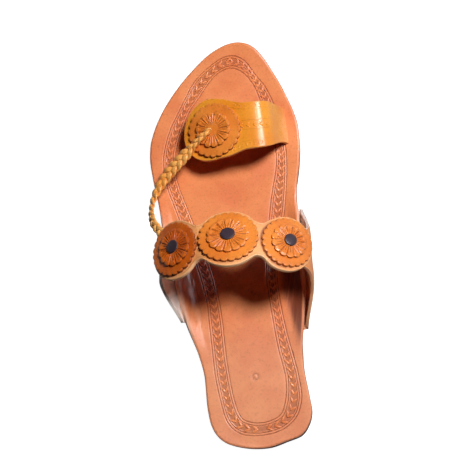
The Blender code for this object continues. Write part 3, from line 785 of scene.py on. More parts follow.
def leather(name, light, deep, line, cut, relief=0.10, coat=0.15):
    """A dyed, hand-polished leather. The colours are linear RGB; the line colour also paints shade."""
    material = bpy.data.materials.new(name)
    material.use_nodes = True
    tree = material.node_tree
    shader = tree.nodes["Principled BSDF"]
    where = add_node(tree, "ShaderNodeTexCoord", -1200)
    grain = add_node(tree, "ShaderNodeGroup", -900)
    grain.node_tree = GRAIN
    grain.inputs["Pore Scale"].default_value = PORE_SCALE
    tree.links.new(where.outputs["Object"], grain.inputs["Vector"])
    dye_and_shade = add_node(tree, "ShaderNodeGroup", -500)
    dye_and_shade.node_tree = DYE_AND_SHADE
    for key, colour in (("Light", light), ("Deep", deep), ("Line", line), ("Cut", cut)):
        dye_and_shade.inputs[key].default_value = (*colour, 1.0)
    for key in ("Mottle", "Fleck"):
        tree.links.new(grain.outputs[key], dye_and_shade.inputs[key])
    for key in MARKS:
        mask = add_node(tree, "ShaderNodeAttribute", -900, attribute_name=key)
        tree.links.new(mask.outputs["Fac"], dye_and_shade.inputs[key.capitalize()])
    raised = add_node(tree, "ShaderNodeBump", -200, -300)
    raised.inputs["Strength"].default_value = relief
    raised.inputs["Distance"].default_value = 0.4 * MM
    tree.links.new(grain.outputs["Height"], raised.inputs["Height"])
    tree.links.new(raised.outputs["Normal"], shader.inputs["Normal"])
    tree.links.new(dye_and_shade.outputs["Color"], shader.inputs["Base Color"])
    tree.links.new(dye_and_shade.outputs["Roughness"], shader.inputs["Roughness"])
    shader.inputs["Coat Weight"].default_value = coat
    shader.inputs["Coat Roughness"].default_value = 0.32
    return material


# Its line colour also paints the shade on the inner wing and in the creases; its cut colour also paints
# the heel's sheen and the outer wing's highlight.
INSOLE_LOOK = leather(
    "tooled insole leather",
    (0.94, 0.315, 0.118), (0.83, 0.222, 0.074), (0.20, 0.030, 0.006), (0.98, 0.66, 0.50),
)
LEAF_LOOK = leather(
    "pressed leaf leather",
    (0.92, 0.31, 0.115), (0.82, 0.22, 0.070), (0.42, 0.10, 0.04), (0.5, 0.2, 0.1),
    relief=0.06,
)
SOLE_LOOK = leather(
    "sole leather",
    (0.16, 0.065, 0.03), (0.09, 0.035, 0.018), (0.03, 0.012, 0.008), (0.07, 0.028, 0.015),
    relief=0.2, coat=0.05,
)
UPPER_LOOK = leather(
    "upper leather",
    (1.0, 0.49, 0.20), (0.93, 0.37, 0.12), (0.32, 0.08, 0.025), (0.97, 0.58, 0.31),
)
# Its flesh colour is the pale flesh side, whitened further as painted light where the outer ear sits in
# shade.
EAR_LOOK = leather(
    "ear leather",
    (0.95, 0.38, 0.11), (0.82, 0.26, 0.06), (0.35, 0.09, 0.022), (1.0, 0.90, 0.84),
    relief=0.16,
)
BAND_LOOK = leather(
    "toe band leather",
    (0.98, 0.38, 0.036), (0.88, 0.27, 0.016), (0.34, 0.085, 0.010), (0.80, 0.40, 0.17),
    coat=0.5,
)
DISC_LOOK = leather(
    "rosette leather",
    (0.95, 0.30, 0.048), (0.80, 0.205, 0.024), (0.13, 0.022, 0.004), (0.40, 0.11, 0.02),
)
# A darker copy of the rosette leather for the outer rosette, which faces away from the lamps: painted
# shade
SHADED_DISC_LOOK = leather(
    "shaded rosette leather",
    (0.80, 0.175, 0.012), (0.60, 0.100, 0.006), (0.05, 0.008, 0.002), (0.22, 0.05, 0.01),
)
CENTRE_LOOK = leather(
    "flower centre leather",
    (0.085, 0.050, 0.066), (0.036, 0.024, 0.034), (0.006, 0.005, 0.008), (0.05, 0.04, 0.05),
    relief=0.3,
)
BRAID_LOOK = leather(
    "braid leather",
    (1.0, 0.50, 0.13), (1.0, 0.39, 0.07), (0.30, 0.07, 0.010), (0.6, 0.3, 0.12),
    coat=0.4,
)


# Making of meshes and leather plates


WELD = 1e-7
RIM_STEPS = 4
RIM_PALE = 0.8


def uneven(grain, x, y):
    """A smooth random value between -1 and 1."""
    across, slant, along, seed = grain
    return noise.noise(Vector((x * across + y * slant, y * along, seed)))


def mesh_of(name, sheet):
    mesh = bpy.data.meshes.new(name)
    sheet.to_mesh(mesh)
    sheet.free()
    return mesh


def add_object(name, data):
    made = bpy.data.objects.new(name, data)
    bpy.context.scene.collection.objects.link(made)
    return made


def add_piece(name, sheet, look, slot, *nodes):
    """Puts a finished bmesh in the scene, riding on the sandal and standing for the named solids."""
    mesh = mesh_of(name, sheet)
    mesh.shade_smooth()
    mesh.materials.append(look)
    piece = add_object(name, mesh)
    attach(piece, "root")
    if nodes:
        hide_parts(*nodes)
    return piece


def mark_layers(sheet):
    """The values on each vertex that the dye reads."""
    for mark in MARKS:
        sheet.verts.layers.float.new(mark)
    return [sheet.verts.layers.float[mark] for mark in MARKS]


def tube_sheet(segments, rings):
    """An open tube of quads round Z. Yields it with a function that gives a vertex's turn and ring."""
    sheet = bmesh.new()
    bmesh.ops.create_cone(sheet, cap_ends=False, segments=segments, radius1=1.0, radius2=1.0, depth=2.0)
    uprights = [line for line in sheet.edges if abs(line.verts[0].co.z - line.verts[1].co.z) > 1]
    bmesh.ops.subdivide_edges(sheet, edges=uprights, cuts=rings - 2, use_grid_fill=True)

    def spot_of(vert):
        turn = round(math.atan2(vert.co.y, vert.co.x) / (2 * math.pi) * segments) % segments
        return turn, round((vert.co.z + 1) / 2 * (rings - 1))

    return sheet, spot_of


def flat_grid(rows, columns):
    """A sheet of quads over u 0..1 and v -1..1."""
    sheet = bmesh.new()
    bmesh.ops.create_grid(sheet, x_segments=rows, y_segments=columns, size=1.0)
    for vert in sheet.verts:
        vert.co.x = (vert.co.x + 1) / 2
    return sheet


class Ring:
    """One closed line of a plate: where it runs, its height over the face, and its marks."""

    def __init__(self, spots, height, groove=0.0, rim=0.0, flesh=0.0, tooled=False):
        self.spots = spots
        self.height = height
        self.marks = (groove, rim, flesh)
        self.tooled = tooled


def inset_line(line, distance):
    """A closed line of flat points moved inward, for a line that runs anticlockwise."""
    moved = []
    count = len(line)
    for k in range(count):
        way = line[(k + 1) % count] - line[k - 1]
        inward = Vector((-way.y, way.x)).normalized()
        moved.append(line[k] + inward * distance)
    return moved


def between(a, b, share):
    return [p.lerp(q, share) for p, q in zip(a, b)]


def rings_between(a, b, shares, height, **marks):
    return [Ring(between(a, b, share), height, **marks) for share in shares]


def back_rings(line, spine, wall, count):
    """Rings of a plate's underside, from its spine out."""
    return rings_between(line, spine, [1 - k / count for k in range(count)], -wall, flesh=1.0)


def edge_rings(line, wall, radius):
    """Rings round the rim of a plate, from its underside over its cut edge to its face."""
    lower, upper = [], []
    for k in range(RIM_STEPS + 1):
        share = k / RIM_STEPS
        angle = math.pi / 2 * k / RIM_STEPS
        far, near = radius * (1 - math.sin(angle)), radius * (1 - math.cos(angle))
        lower.append(Ring(inset_line(line, far), -wall + near, rim=RIM_PALE, flesh=1.0 - share))
        upper.append(Ring(inset_line(line, near), -far, rim=RIM_PALE * (1 - share)))
    return lower + upper


def face_rings(line, spine, count):
    """Rings of a plate's tooled face, from its rim in."""
    return rings_between(line, spine, [(k + 1) / count for k in range(count)], 0.0, tooled=True)


def plate_rings(line, spine, wall, radius, back_count, face_count):
    inner = inset_line(line, radius)
    back = back_rings(inner, spine, wall, back_count)
    return back + edge_rings(line, wall, radius) + face_rings(inner, spine, face_count)


def no_tooling(u, v):
    return 0.0, 0.0


def plain_edge(u, v, marks):
    return list(marks)


def plate(rings, surface, tooling=no_tooling, edge_marks=plain_edge):
    """Lofts a closed leather plate through its rings, laid over a surface."""
    sheet, spot_of = tube_sheet(len(rings[0].spots), len(rings))
    layers = mark_layers(sheet)
    for vert in sheet.verts:
        turn, k = spot_of(vert)
        ring = rings[k]
        u, v = ring.spots[turn]
        height, groove = tooling(u, v) if ring.tooled else (0.0, 0.0)
        marks = edge_marks(u, v, ring.marks)
        marks[0] = max(marks[0], groove)
        for layer, value in zip(layers, marks):
            vert[layer] = value
        vert.co = over(surface, u, v, ring.height + height)
    bmesh.ops.remove_doubles(sheet, verts=sheet.verts[:], dist=WELD)
    return sheet


def mirrored_line(segments, end_low, end_high, half):
    """Outline with half(u) to either side of a middle line, and a spine that stops short of its ends."""
    centre, reach = (end_low + end_high) / 2, (end_high - end_low) / 2
    line, spine = [], []
    for k in range(segments):
        turn = 2 * math.pi * k / segments
        u = centre + reach * math.cos(turn)
        side = 0.0 if k in (0, segments // 2) else math.copysign(1, math.sin(turn))
        line.append(Vector((u, side * half(u))))
        spine.append(Vector((centre + (reach - 0.5 * min(half(centre), reach)) * math.cos(turn), 0.0)))
    return line, spine


# Insole


INSOLE_SEGMENTS = 520
INSOLE_SPINE = (0.10, 0.88)
INSOLE_ROUND = 0.7 * MM
INSOLE_BACK_RINGS = 6
MARGIN_RINGS = 23
MARGIN_PARTS = 26
BORDER_PARTS = 7
FIELD_RINGS = 16
FIELD_INSET = 0.9 * MM

# Bent edge and worn face, with painted shade in the troughs of the creases
BENT_LEAD = 4 * MM
BENT_BLEND = 5 * MM
CREASE_HEIGHT = 0.28 * MM
FOLD_HEIGHT = 0.20 * MM
WORN_HEIGHT = 0.26 * MM
CUP_WIDTH = 13 * MM
CUP_HEIGHT = 0.5 * MM
CREASE_SHADE = 0.35

# Straight creases: both ends over the middle line and along the sole, and width
CREASES = (
    (Vector((2.5, 98.0)) * MM, Vector((14.0, 88.0)) * MM, 0.45 * MM),
    (Vector((-29.8, 120.0)) * MM, Vector((-26.4, 72.0)) * MM, 0.7 * MM),
    (Vector((-32.4, 118.0)) * MM, Vector((-29.0, 82.0)) * MM, 0.7 * MM),
)
CUT_DEPTH = 0.15 * MM
CUT_DARK = 0.5
CUT_FADE = 0.15

# Plain dimple in the heel, with a raised middle
STAMP_PLACE = Vector((0.5, 43.0)) * MM
STAMP_RADIUS = 1.8 * MM
STAMP_RIM = 0.8 * MM
STAMP_DEPTH = 0.40 * MM
STAMP_DARK = 0.6
BOSS_RADIUS = 1.6 * MM
BOSS_HEIGHT = 0.25 * MM

# Painted shade along the bend of the inner wing: where it starts and ends, and how wide it is
WING_SHADE_START = 54 * MM
WING_SHADE_START_BLEND = 16 * MM
WING_SHADE_END = 150 * MM
WING_SHADE_END_BLEND = 45 * MM
WING_SHADE_REACH = 6 * MM
WING_SHADE_BLEND = 5 * MM
NARROWED_BY = 7 * MM
NARROWED_FROM = 98 * MM
NARROWED_SPAN = 36 * MM
WING_SHADE_BASE = 0.82
WING_SHADE_DEEPER = 0.18
DEEPER_LEAD = 1 * MM
DEEPER_BLEND = 4 * MM
STREAK_SHARE = 0.3

# Cut edge, a painted sheen on the heel end, and a pale strip on the outer wing: its real pale cut edge,
# widened as a painted highlight
TURNED_GAIN = 2.2
HEEL_SHEEN = 0.16
HEEL_SHEEN_FROM = 105 * MM
HEEL_SHEEN_SPAN = 60 * MM
PALE_EDGE = 0.55
PALE_WIDTH = 3.5 * MM
EDGE_DARK = 0.9


def around(segments):
    """Even steps round a sole outline from its rear end: the side, and the share of the length."""
    for k in range(segments):
        turn = 2 * math.pi * (k + 0.5) / segments - math.pi / 2
        yield (1 if math.cos(turn) > 0 else -1), (1 + math.sin(turn)) / 2


def closed_line(table, ends, shift=0.0):
    """A tooled line of the insole as flat points: x over the middle line, and the station."""
    sides = {-1: reader(table, 1, end_angle), 1: reader(table, 2, end_angle)}
    low, high = (share * SOLE_LENGTH for share in ends)
    line = []
    for side, share in around(INSOLE_SEGMENTS):
        station = low + share * (high - low)
        line.append(Vector((BALL_WIDTH * sides[side](share) - middle(station), station)))
    return inset_line(line, shift) if shift else line


def insole_outline():
    line = []
    for side, share in around(INSOLE_SEGMENTS):
        station = SOLE_LENGTH * share
        line.append(Vector((side * insole_reach(station), station)))
    return line


def insole_spine():
    low, high = (share * SOLE_LENGTH for share in INSOLE_SPINE)
    return [Vector((0.0, low + (high - low) * share)) for side, share in around(INSOLE_SEGMENTS)]


def line_rings(line):
    """A pressed line with a soft shoulder on each side."""
    return [
        Ring(inset_line(line, share * LINE_WIDTH), -depth * LINE_DEPTH, groove=dark, tooled=True)
        for share, depth, dark in LINE_SHAPE
    ]


def crease_line(x, station, start, end, width):
    """How near a point is to a short straight crease, from 0 to 1."""
    run = end - start
    offset = Vector((x, station)) - start
    share = min(max(offset.dot(run) / run.length_squared, 0.0), 1.0)
    away = (offset - run * share).length
    return bump(away, width) * math.sin(math.pi * min(share + CUT_FADE, 1.0)) if away < width else 0.0


def wing_painted_shade(x, station, past):
    """How much painted shade lies on the inner wing, in streaks; past is the distance beyond the start of
    its bend.
    """
    narrowed = NARROWED_BY * ease((NARROWED_FROM - station) / NARROWED_SPAN)
    near = ease((past + WING_SHADE_REACH - narrowed) / WING_SHADE_BLEND)
    near *= ease((station - WING_SHADE_START) / WING_SHADE_START_BLEND)
    deeper = WING_SHADE_DEEPER * ease((past + DEEPER_LEAD) / DEEPER_BLEND)
    strength = WING_SHADE_BASE + deeper + STREAK_SHARE * uneven(STREAK_GRAIN, x, station)
    return near * ease((WING_SHADE_END - station) / WING_SHADE_END_BLEND) * strength


def insole_tooling(x, station):
    """Creases where the edge is bent up, with painted shade in their troughs, gentle unevenness of the
    worn face, and painted shade along the inner wing.
    """
    past = abs(x) - bend_start(station)
    bent = wing(station) * ease((past + BENT_LEAD) / BENT_BLEND)
    crease = uneven(CREASE_GRAIN, x, station)
    bending = CREASE_HEIGHT * crease + FOLD_HEIGHT * uneven(FOLD_GRAIN, x, station)
    cupped = ease((abs(x) - half_width(station) + CUP_WIDTH) / CUP_WIDTH)
    height = bent * bending + WORN_HEIGHT * uneven(WORN_GRAIN, x, station) + CUP_HEIGHT * cupped
    away = (Vector((x, station)) - STAMP_PLACE).length
    stamp = bump(away - STAMP_RADIUS, STAMP_RIM)
    height += -STAMP_DEPTH * stamp + BOSS_HEIGHT * bump(away, BOSS_RADIUS)
    cut = max(crease_line(x, station, *crease) for crease in CREASES)
    height -= CUT_DEPTH * cut
    # painted shade along the inner wing's bend
    wing_shade = wing_painted_shade(x, station, past) if x > 0 else 0.0
    # painted shade in the troughs of the creases of the bent edge
    crease_shade = CREASE_SHADE * bent * max(0.0, -crease)
    return height, max(STAMP_DARK * stamp, crease_shade, CUT_DARK * cut, wing_shade)


def insole_edge(x, station, marks):
    """The cut edge is pale where it is turned up and darker where it lies on the sole; painted sheen pales
    the heel end, and a painted highlight widens the outer wing's pale edge.
    """
    groove, rim, flesh = marks
    turned = ease(TURNED_GAIN * wing(station))
    # painted sheen, paler toward the heel end
    sheen_and_pale_edge = HEEL_SHEEN * ease((HEEL_SHEEN_FROM - station) / HEEL_SHEEN_SPAN) * (1 - groove)
    if x < 0:
        # the outer wing's pale cut edge, widened as a painted highlight
        sheen_and_pale_edge += PALE_EDGE * turned * (1 - ease((insole_reach(station) + x) / PALE_WIDTH))
    return [max(groove, EDGE_DARK * rim * (1 - turned)), max(rim * turned, sheen_and_pale_edge), flesh * turned]


def insole():
    outline, spine = insole_outline(), insole_spine()
    outer = closed_line(OUTER_LINE, OUTER_LINE_ENDS)
    outer_pair = closed_line(OUTER_LINE, OUTER_LINE_ENDS, LINE_GAP)
    inner = closed_line(INNER_LINE, INNER_LINE_ENDS)
    inner_pair = closed_line(INNER_LINE, INNER_LINE_ENDS, -LINE_GAP)
    top = inset_line(outline, INSOLE_ROUND)
    margin = [(k + 1) / MARGIN_PARTS for k in range(MARGIN_RINGS)]
    border = [k / BORDER_PARTS for k in range(BORDER_PARTS + 1)]
    border_start = inset_line(outer_pair, BORDER_SHOULDER)
    border_end = inset_line(inner_pair, -BORDER_SHOULDER)
    rings = back_rings(top, spine, INSOLE_WALL, INSOLE_BACK_RINGS)
    rings += edge_rings(outline, INSOLE_WALL, INSOLE_ROUND)
    rings += rings_between(top, outer, margin, 0.0, tooled=True)
    rings += line_rings(outer) + line_rings(outer_pair)
    rings += rings_between(
        border_start, border_end, border, -BORDER_SINK, groove=BORDER_DARK, tooled=True
    )
    rings += line_rings(inner_pair) + line_rings(inner)
    rings += face_rings(inset_line(inner, FIELD_INSET), spine, FIELD_RINGS)
    sheet = plate(rings, insole_face, insole_tooling, insole_edge)
    add_piece("insole_tooled", sheet, INSOLE_LOOK, "insole_leather", "insole")


# Raised marks


LEAF_SEGMENTS = 8
LEAF_RINGS = 4
LEAF_POINT = 0.35
LEAF_TIP_WIDTH = 0.55
LEAF_SWELL = 0.45
LEAF_SETBACK = 0.42
LEAF_PARTING = 0.16


def raised_mark(sheet, frame_at, size):
    """Adds one pointed mound to a mesh; frame_at maps its flat x, y and height to the piece."""
    length, width, height = size
    grown = bmesh.ops.create_uvsphere(
        sheet, u_segments=LEAF_SEGMENTS, v_segments=LEAF_RINGS, radius=1.0
    )
    for vert in grown["verts"]:
        x, y, z = vert.co.z, vert.co.x, vert.co.y
        taper = (1 - x * x) ** LEAF_POINT if abs(x) < 1 else 0.0
        swell = LEAF_TIP_WIDTH + LEAF_SWELL * taper
        vert.co = frame_at(x * length / 2, y * width / 2 * swell, z * height)


def chevrons(sheet, path, count, surface, leaf, spread, sink):
    """Pairs of leaves in a V along a run; path gives a flat point and its direction."""
    length, width, height = leaf
    for k in range(count):
        centre, way = path((k + 0.5) / count)
        side_way = Vector((-way.y, way.x))
        for side in (-1, 1):
            lean = Matrix.Rotation(side * spread, 2)
            axis = lean @ way
            cross = Vector((-axis.y, axis.x))
            parting = side_way * side * width * LEAF_PARTING
            start = centre - axis * length * LEAF_SETBACK + parting

            def frame_at(x, y, z, start=start, axis=axis, cross=cross):
                spot = start + axis * x + cross * y
                return over(surface, spot.x, spot.y, z - sink)

            raised_mark(sheet, frame_at, leaf)


def border_leaves():
    """The wheat-ear border between the tooled lines, pressed from the toe down both sides."""
    outer = closed_line(OUTER_LINE, OUTER_LINE_ENDS, LINE_GAP)
    inner = closed_line(INNER_LINE, INNER_LINE_ENDS, -LINE_GAP)
    run = between(outer, inner, 0.5)
    half = INSOLE_SEGMENTS // 2
    sheet = bmesh.new()
    for points in (run[:half][::-1], run[half:]):
        marks = distances(points)

        def path(share, points=points, marks=marks):
            k, part = stretch_at(marks, share * marks[-1], 1, len(points) - 3)
            way = (points[k + 2] - points[k - 1]).normalized()
            return points[k].lerp(points[k + 1], part), way

        count = round(marks[-1] / LEAF_PITCH)
        chevrons(sheet, path, count, insole_face, BORDER_LEAF, BORDER_SPREAD, BORDER_SINK)
    add_piece("border_leaves", sheet, LEAF_LOOK, "insole_leather")


# Sole


SOLE_SEGMENTS = 360
SOLE_ROUND = 0.5 * MM
SOLE_RINGS = 5
SOLE_SPINE_START = 0.14
SOLE_SPINE_SPAN = 0.72
SQUARE_CORNER = 1.2 * MM


def sole_plate(name, length, square, height_at, wall, node):
    """One layer of the sole from its rear end on, with softly rounded edges."""
    line = []
    for side, share in around(SOLE_SEGMENTS):
        station = share * length
        width = half_width(station)
        if square:
            width *= math.sqrt(1 - max(0.0, 1 - (length - station) / SQUARE_CORNER) ** 2)
        line.append(Vector((side * width, station)))
    spine = [
        Vector((0.0, length * (SOLE_SPINE_START + SOLE_SPINE_SPAN * p.y / length))) for p in line
    ]

    def surface(x, station):
        return place(middle(station) + x, station, height_at(station))

    rings = plate_rings(line, spine, wall, SOLE_ROUND, SOLE_RINGS, SOLE_RINGS)
    add_piece(name, plate(rings, surface), SOLE_LOOK, "sole_leather", node)


def sole():
    sole_plate("outsole_layer", SOLE_LENGTH, False, outsole_top, OUTSOLE_WALL, "outsole")
    for k in range(LIFT_COUNT):
        top = k * (LIFT_WALL + SEAM) + LIFT_WALL
        name, node = f"heel_layer_{k + 1}", f"heel_lift_{k + 1}"
        sole_plate(name, HEEL_LENGTH, True, lambda station, z=top: z, LIFT_WALL, node)


# Upper


# Walled sheets: pale cut sides, a darker line beside them, and a rounded edge
SIDE_PALE = 0.9
SIDE_PALE_WIDTH = 0.05
SIDE_LINE_DARK = 0.35
SIDE_LINE_PLACE = 0.90
SIDE_LINE_WIDTH = 0.04
ROUNDED_SHARE = 0.3
ROUNDED_ANGLE = math.radians(60)
EAR_DYED = 0.8
EAR_DYED_FROM = 0.1
EAR_DYED_SPAN = 0.4

# Instep strap: the line along its edge, and a painted shadow beside the discs
STRAP_SEGMENTS = 480
STRAP_RINGS = (5, 30)
STRAP_ROUND = 0.55 * MM
STRAP_LINE_INSET = 1.5 * MM
STRAP_LINE_WIDTH = 0.5 * MM
STRAP_LINE_DEPTH = 0.12 * MM
STRAP_LINE_DARK = 0.3
STRAP_UNEVEN = 0.10 * MM
DISC_SHADOW_INSET = 0.5 * MM
DISC_SHADOW_WIDTH = 1.5 * MM
DISC_SHADOW_DARK = 0.95
DISC_SHADOW_SIDES = (0.5, 0.8)

# Toe band: lines beside the chevrons and along the edges, then its stamps
BAND_SEGMENTS = 520
BAND_RINGS = (5, 34)
BAND_ROUND = 0.5 * MM
BAND_LINE_PLACE = 2.9 * MM
BAND_MARGIN = 5.0 * MM
BAND_LINE_WIDTH = 0.40 * MM
BAND_LINE_DEPTH = 0.2 * MM
BAND_LINE_DARK = 0.6
BAND_MARGIN_DARK = 0.35
BAND_GROOVE_DARK = 0.55
BAND_UNEVEN = 0.08 * MM
BAND_CREST = 0.40
CREST_BLEND = 3 * MM
STAMPS_START = 0.44
STAMPS_GAP = 0.6 * MM
CHEVRON_COUNT = 5
CHEVRON_SPREAD = math.radians(40)
CHEVRON_SINK = 0.1 * MM
LOOP_INSET = 3.0 * MM
LOOP_STROKES = 6
LOOP_SINK = 0.06 * MM

# Rows of loops: side, how far past the chevrons they run, how many, radius and opening
LOOP_ROWS = (
    (-1, 2 * MM, 7, 1.15 * MM, math.radians(120)),
    (1, 7 * MM, 11, 0.85 * MM, math.radians(190)),
)


def walled(name, sheet, surface, wall, look, slot, node, undyed=lambda u, v: 1.0):
    """A sheet over a middle surface, given a wall: its far side is the flesh side, where undyed."""
    groove, rim, flesh = mark_layers(sheet)
    made = bmesh.ops.extrude_face_region(sheet, geom=sheet.faces[:], use_keep_orig=True)
    for item in made["geom"]:
        if isinstance(item, bmesh.types.BMVert):
            item.co.z = -1.0
    for vert in sheet.verts:
        u, v, depth = vert.co
        vert[rim] = SIDE_PALE * (1 - ease((1 - abs(v)) / SIDE_PALE_WIDTH)) * undyed(u, v)
        vert[groove] = SIDE_LINE_DARK * bump(abs(v) - SIDE_LINE_PLACE, SIDE_LINE_WIDTH)
        vert[flesh] = -depth * undyed(u, v)
        vert.co = over(surface, u, v, (0.5 + depth) * wall)
    bmesh.ops.recalc_face_normals(sheet, faces=sheet.faces[:])
    piece = add_piece(name, sheet, look, slot, node)
    rounded = piece.modifiers.new("rounded edge", "BEVEL")
    rounded.width = ROUNDED_SHARE * wall
    rounded.segments = 3
    rounded.limit_method = "ANGLE"
    rounded.angle_limit = ROUNDED_ANGLE


def ear(side, name, node):
    """A side flap; the inner one is dyed on its flesh side too, toward the heel."""

    def surface(u, v):
        return ear_point(side, 4 * u, -side * v)

    def undyed(u, v):
        return 1.0 - EAR_DYED * ease((v - EAR_DYED_FROM) / EAR_DYED_SPAN) if side > 0 else 1.0

    walled(name, flat_grid(96, 60), surface, EAR_WALL, EAR_LOOK, "upper_leather", node, undyed)


def strap_tooling(u, v):
    """A pressed line along the edge, and a painted shadow on the outer side of each disc."""
    edge_gap = strap_half(u) - abs(v)
    line = bump(edge_gap - STRAP_LINE_INSET, STRAP_LINE_WIDTH)
    even, turned = DISC_SHADOW_SIDES
    disc_shadow = 0.0
    for centre in (-LOBE_SPACING, 0.0, LOBE_SPACING):
        away = Vector((u - centre, v))
        outer_side = ease(even - turned * away.x / max(away.length, MM))
        # painted shadow of the disc on the strap
        disc_shadow = max(disc_shadow, outer_side * bump(away.length - DISC_RADIUS + DISC_SHADOW_INSET, DISC_SHADOW_WIDTH))
    height = -STRAP_LINE_DEPTH * line + STRAP_UNEVEN * uneven(STRAP_GRAIN, u, v)
    return height, max(STRAP_LINE_DARK * line, DISC_SHADOW_DARK * disc_shadow)


def shade_darkened_underside(u, v, marks):
    """The underside is painted dark with the line colour: painted shade that keeps bounced light out of
    the shadow beneath.
    """
    groove, rim, flesh = marks
    return [flesh, rim * (1 - flesh), 0.0]


def instep_strap():
    line, spine = mirrored_line(STRAP_SEGMENTS, -STRAP_REACH, STRAP_REACH, strap_half)
    rings = plate_rings(line, spine, STRAP_WALL, STRAP_ROUND, *STRAP_RINGS)
    sheet = plate(rings, strap_point, strap_tooling, shade_darkened_underside)
    add_piece("instep_strap_leather", sheet, UPPER_LOOK, "upper_leather", "instep_strap")


def band_tooling(u, v):
    """Two lines beside the row of chevrons, and a pressed line along each edge."""
    side = bump(abs(v) - BAND_LINE_PLACE, BAND_LINE_WIDTH)
    over_crest = ease((u - BAND_CREST * BAND_LOBE) / CREST_BLEND)
    margin = bump(band_half(u) - abs(v) - BAND_MARGIN, BAND_LINE_WIDTH)
    groove = max(BAND_LINE_DARK * side, BAND_MARGIN_DARK * margin) * over_crest
    height = -BAND_LINE_DEPTH * groove + BAND_UNEVEN * uneven(BAND_GRAIN, u, v)
    return height, BAND_GROOVE_DARK * groove


def toe_band():
    line, spine = mirrored_line(BAND_SEGMENTS, 0.0, BAND_END, band_half)
    rings = plate_rings(line, spine, BAND_WALL, BAND_ROUND, *BAND_RINGS)
    sheet = plate(rings, band_point, band_tooling, shade_darkened_underside)
    add_piece("toe_band_leather", sheet, BAND_LOOK, "band_leather", "toe_band")


def stamp_loops(sheet, start, end, side, count, radius, opening):
    """A row of small curved marks along one edge of the band; each is an arc of short strokes."""
    for k in range(count):
        u = start + (k + 0.5) / count * (end - start)
        v = side * (band_half(u) - LOOP_INSET)
        for part in range(LOOP_STROKES):
            angle = opening / 2 + (2 * math.pi - opening) * (part + 0.5) / LOOP_STROKES
            x, y = u + radius * math.cos(angle), v + radius * math.sin(angle)

            def frame_at(a, b, c, x=x, y=y, angle=angle):
                way = Vector((-math.sin(angle), math.cos(angle)))
                cross = Vector((-way.y, way.x))
                spot = Vector((x, y)) + way * a + cross * b
                return over(band_point, spot.x, spot.y, c - LOOP_SINK)

            raised_mark(sheet, frame_at, LOOP_STROKE)


def band_stamps():
    """Chevrons along the middle of the toe band and small loops along its edges."""
    sheet = bmesh.new()
    start, end = STAMPS_START * BAND_LOBE, BAND_LOBE - DISC_RADIUS + STAMPS_GAP

    def path(share):
        return Vector((start + share * (end - start), 0.0)), Vector((1.0, 0.0))

    chevrons(sheet, path, CHEVRON_COUNT, band_point, BAND_LEAF, CHEVRON_SPREAD, CHEVRON_SINK)
    for side, past, count, radius, opening in LOOP_ROWS:
        stamp_loops(sheet, start, end + past, side, count, radius, opening)
    add_piece("band_stamps", sheet, BAND_LOOK, "band_leather")


def toe_post():
    """The short strap between the big toe and the next, under the toe lobe."""

    def surface(u, v):
        return post_point(3 * u, v * POST_WIDTH / 2)

    sheet = flat_grid(60, 14)
    walled("toe_post_leather", sheet, surface, POST_WALL, UPPER_LOOK, "upper_leather", "toe_post")


# Rosettes


# Disc: scallops, the notches pressed between them with painted shade in them, and its crowned face
SCALLOP_CUT = 1.4 * MM
SCALLOP_POWER = 0.5
SCALLOP_SEGMENTS = 16
DISC_ROUND = 0.45 * MM
DISC_RINGS = (3, 22)
DISC_CROWN = 0.2 * MM
DISC_LOWERED = 0.25 * MM
NOTCH_POWER = 0.55
NOTCH_DEPTH = 0.6 * MM
NOTCH_LENGTH = 2.4 * MM
NOTCH_BLEND = 1.2 * MM
NOTCH_SHADE = 0.95
SCALLOP_LIP = 0.12 * MM
SCALLOP_LIP_INSET = 1.7 * MM
SCALLOP_LIP_WIDTH = 0.9 * MM

# Flower: its petals' outline, then grooves, lips and folds, with painted shade in the grooves and folds
PETAL_POWER = 0.45
PETAL_SEGMENTS = 28
FLOWER_ROUND = 0.35 * MM
FLOWER_RINGS = (3, 26)
LIP_HEIGHT = 0.32 * MM
GAP_DEPTH = 0.62 * MM
FOLD_DEPTH = 0.35 * MM
FOLD_SHADE = 0.75

# Dark centre
CENTRE_SEGMENTS = 72
CENTRE_ROUND = 0.35 * MM
CENTRE_RINGS = (2, 10)
CENTRE_CROWN = 0.35 * MM
CENTRE_UNEVEN = 0.05 * MM


def round_line(segments, radius_at):
    line = []
    for k in range(segments):
        turn = 2 * math.pi * k / segments
        line.append(Vector((math.cos(turn), math.sin(turn))) * radius_at(turn))
    return line


def wave(count, turn, power):
    return abs(math.sin(count * turn / 2)) ** power


def rise(value, start, span):
    return ease((value - start) / span)


def disc_tooling(x, y):
    """Short pressed notches that run in from between the scallops of a slightly crowned face, darkened
    with painted shade.
    """
    radius, turn = math.hypot(x, y), math.atan2(y, x)
    valley = 1 - wave(DISC_SCALLOPS, turn, NOTCH_POWER)
    inward = ease((radius - DISC_RADIUS + NOTCH_LENGTH) / NOTCH_BLEND)
    notch = valley * inward
    crown = DISC_CROWN * (1 - (radius / DISC_RADIUS) ** 2)
    lip = bump(radius - DISC_RADIUS + SCALLOP_LIP_INSET, SCALLOP_LIP_WIDTH) * (1 - valley)
    return crown + SCALLOP_LIP * lip - NOTCH_DEPTH * notch, NOTCH_SHADE * notch


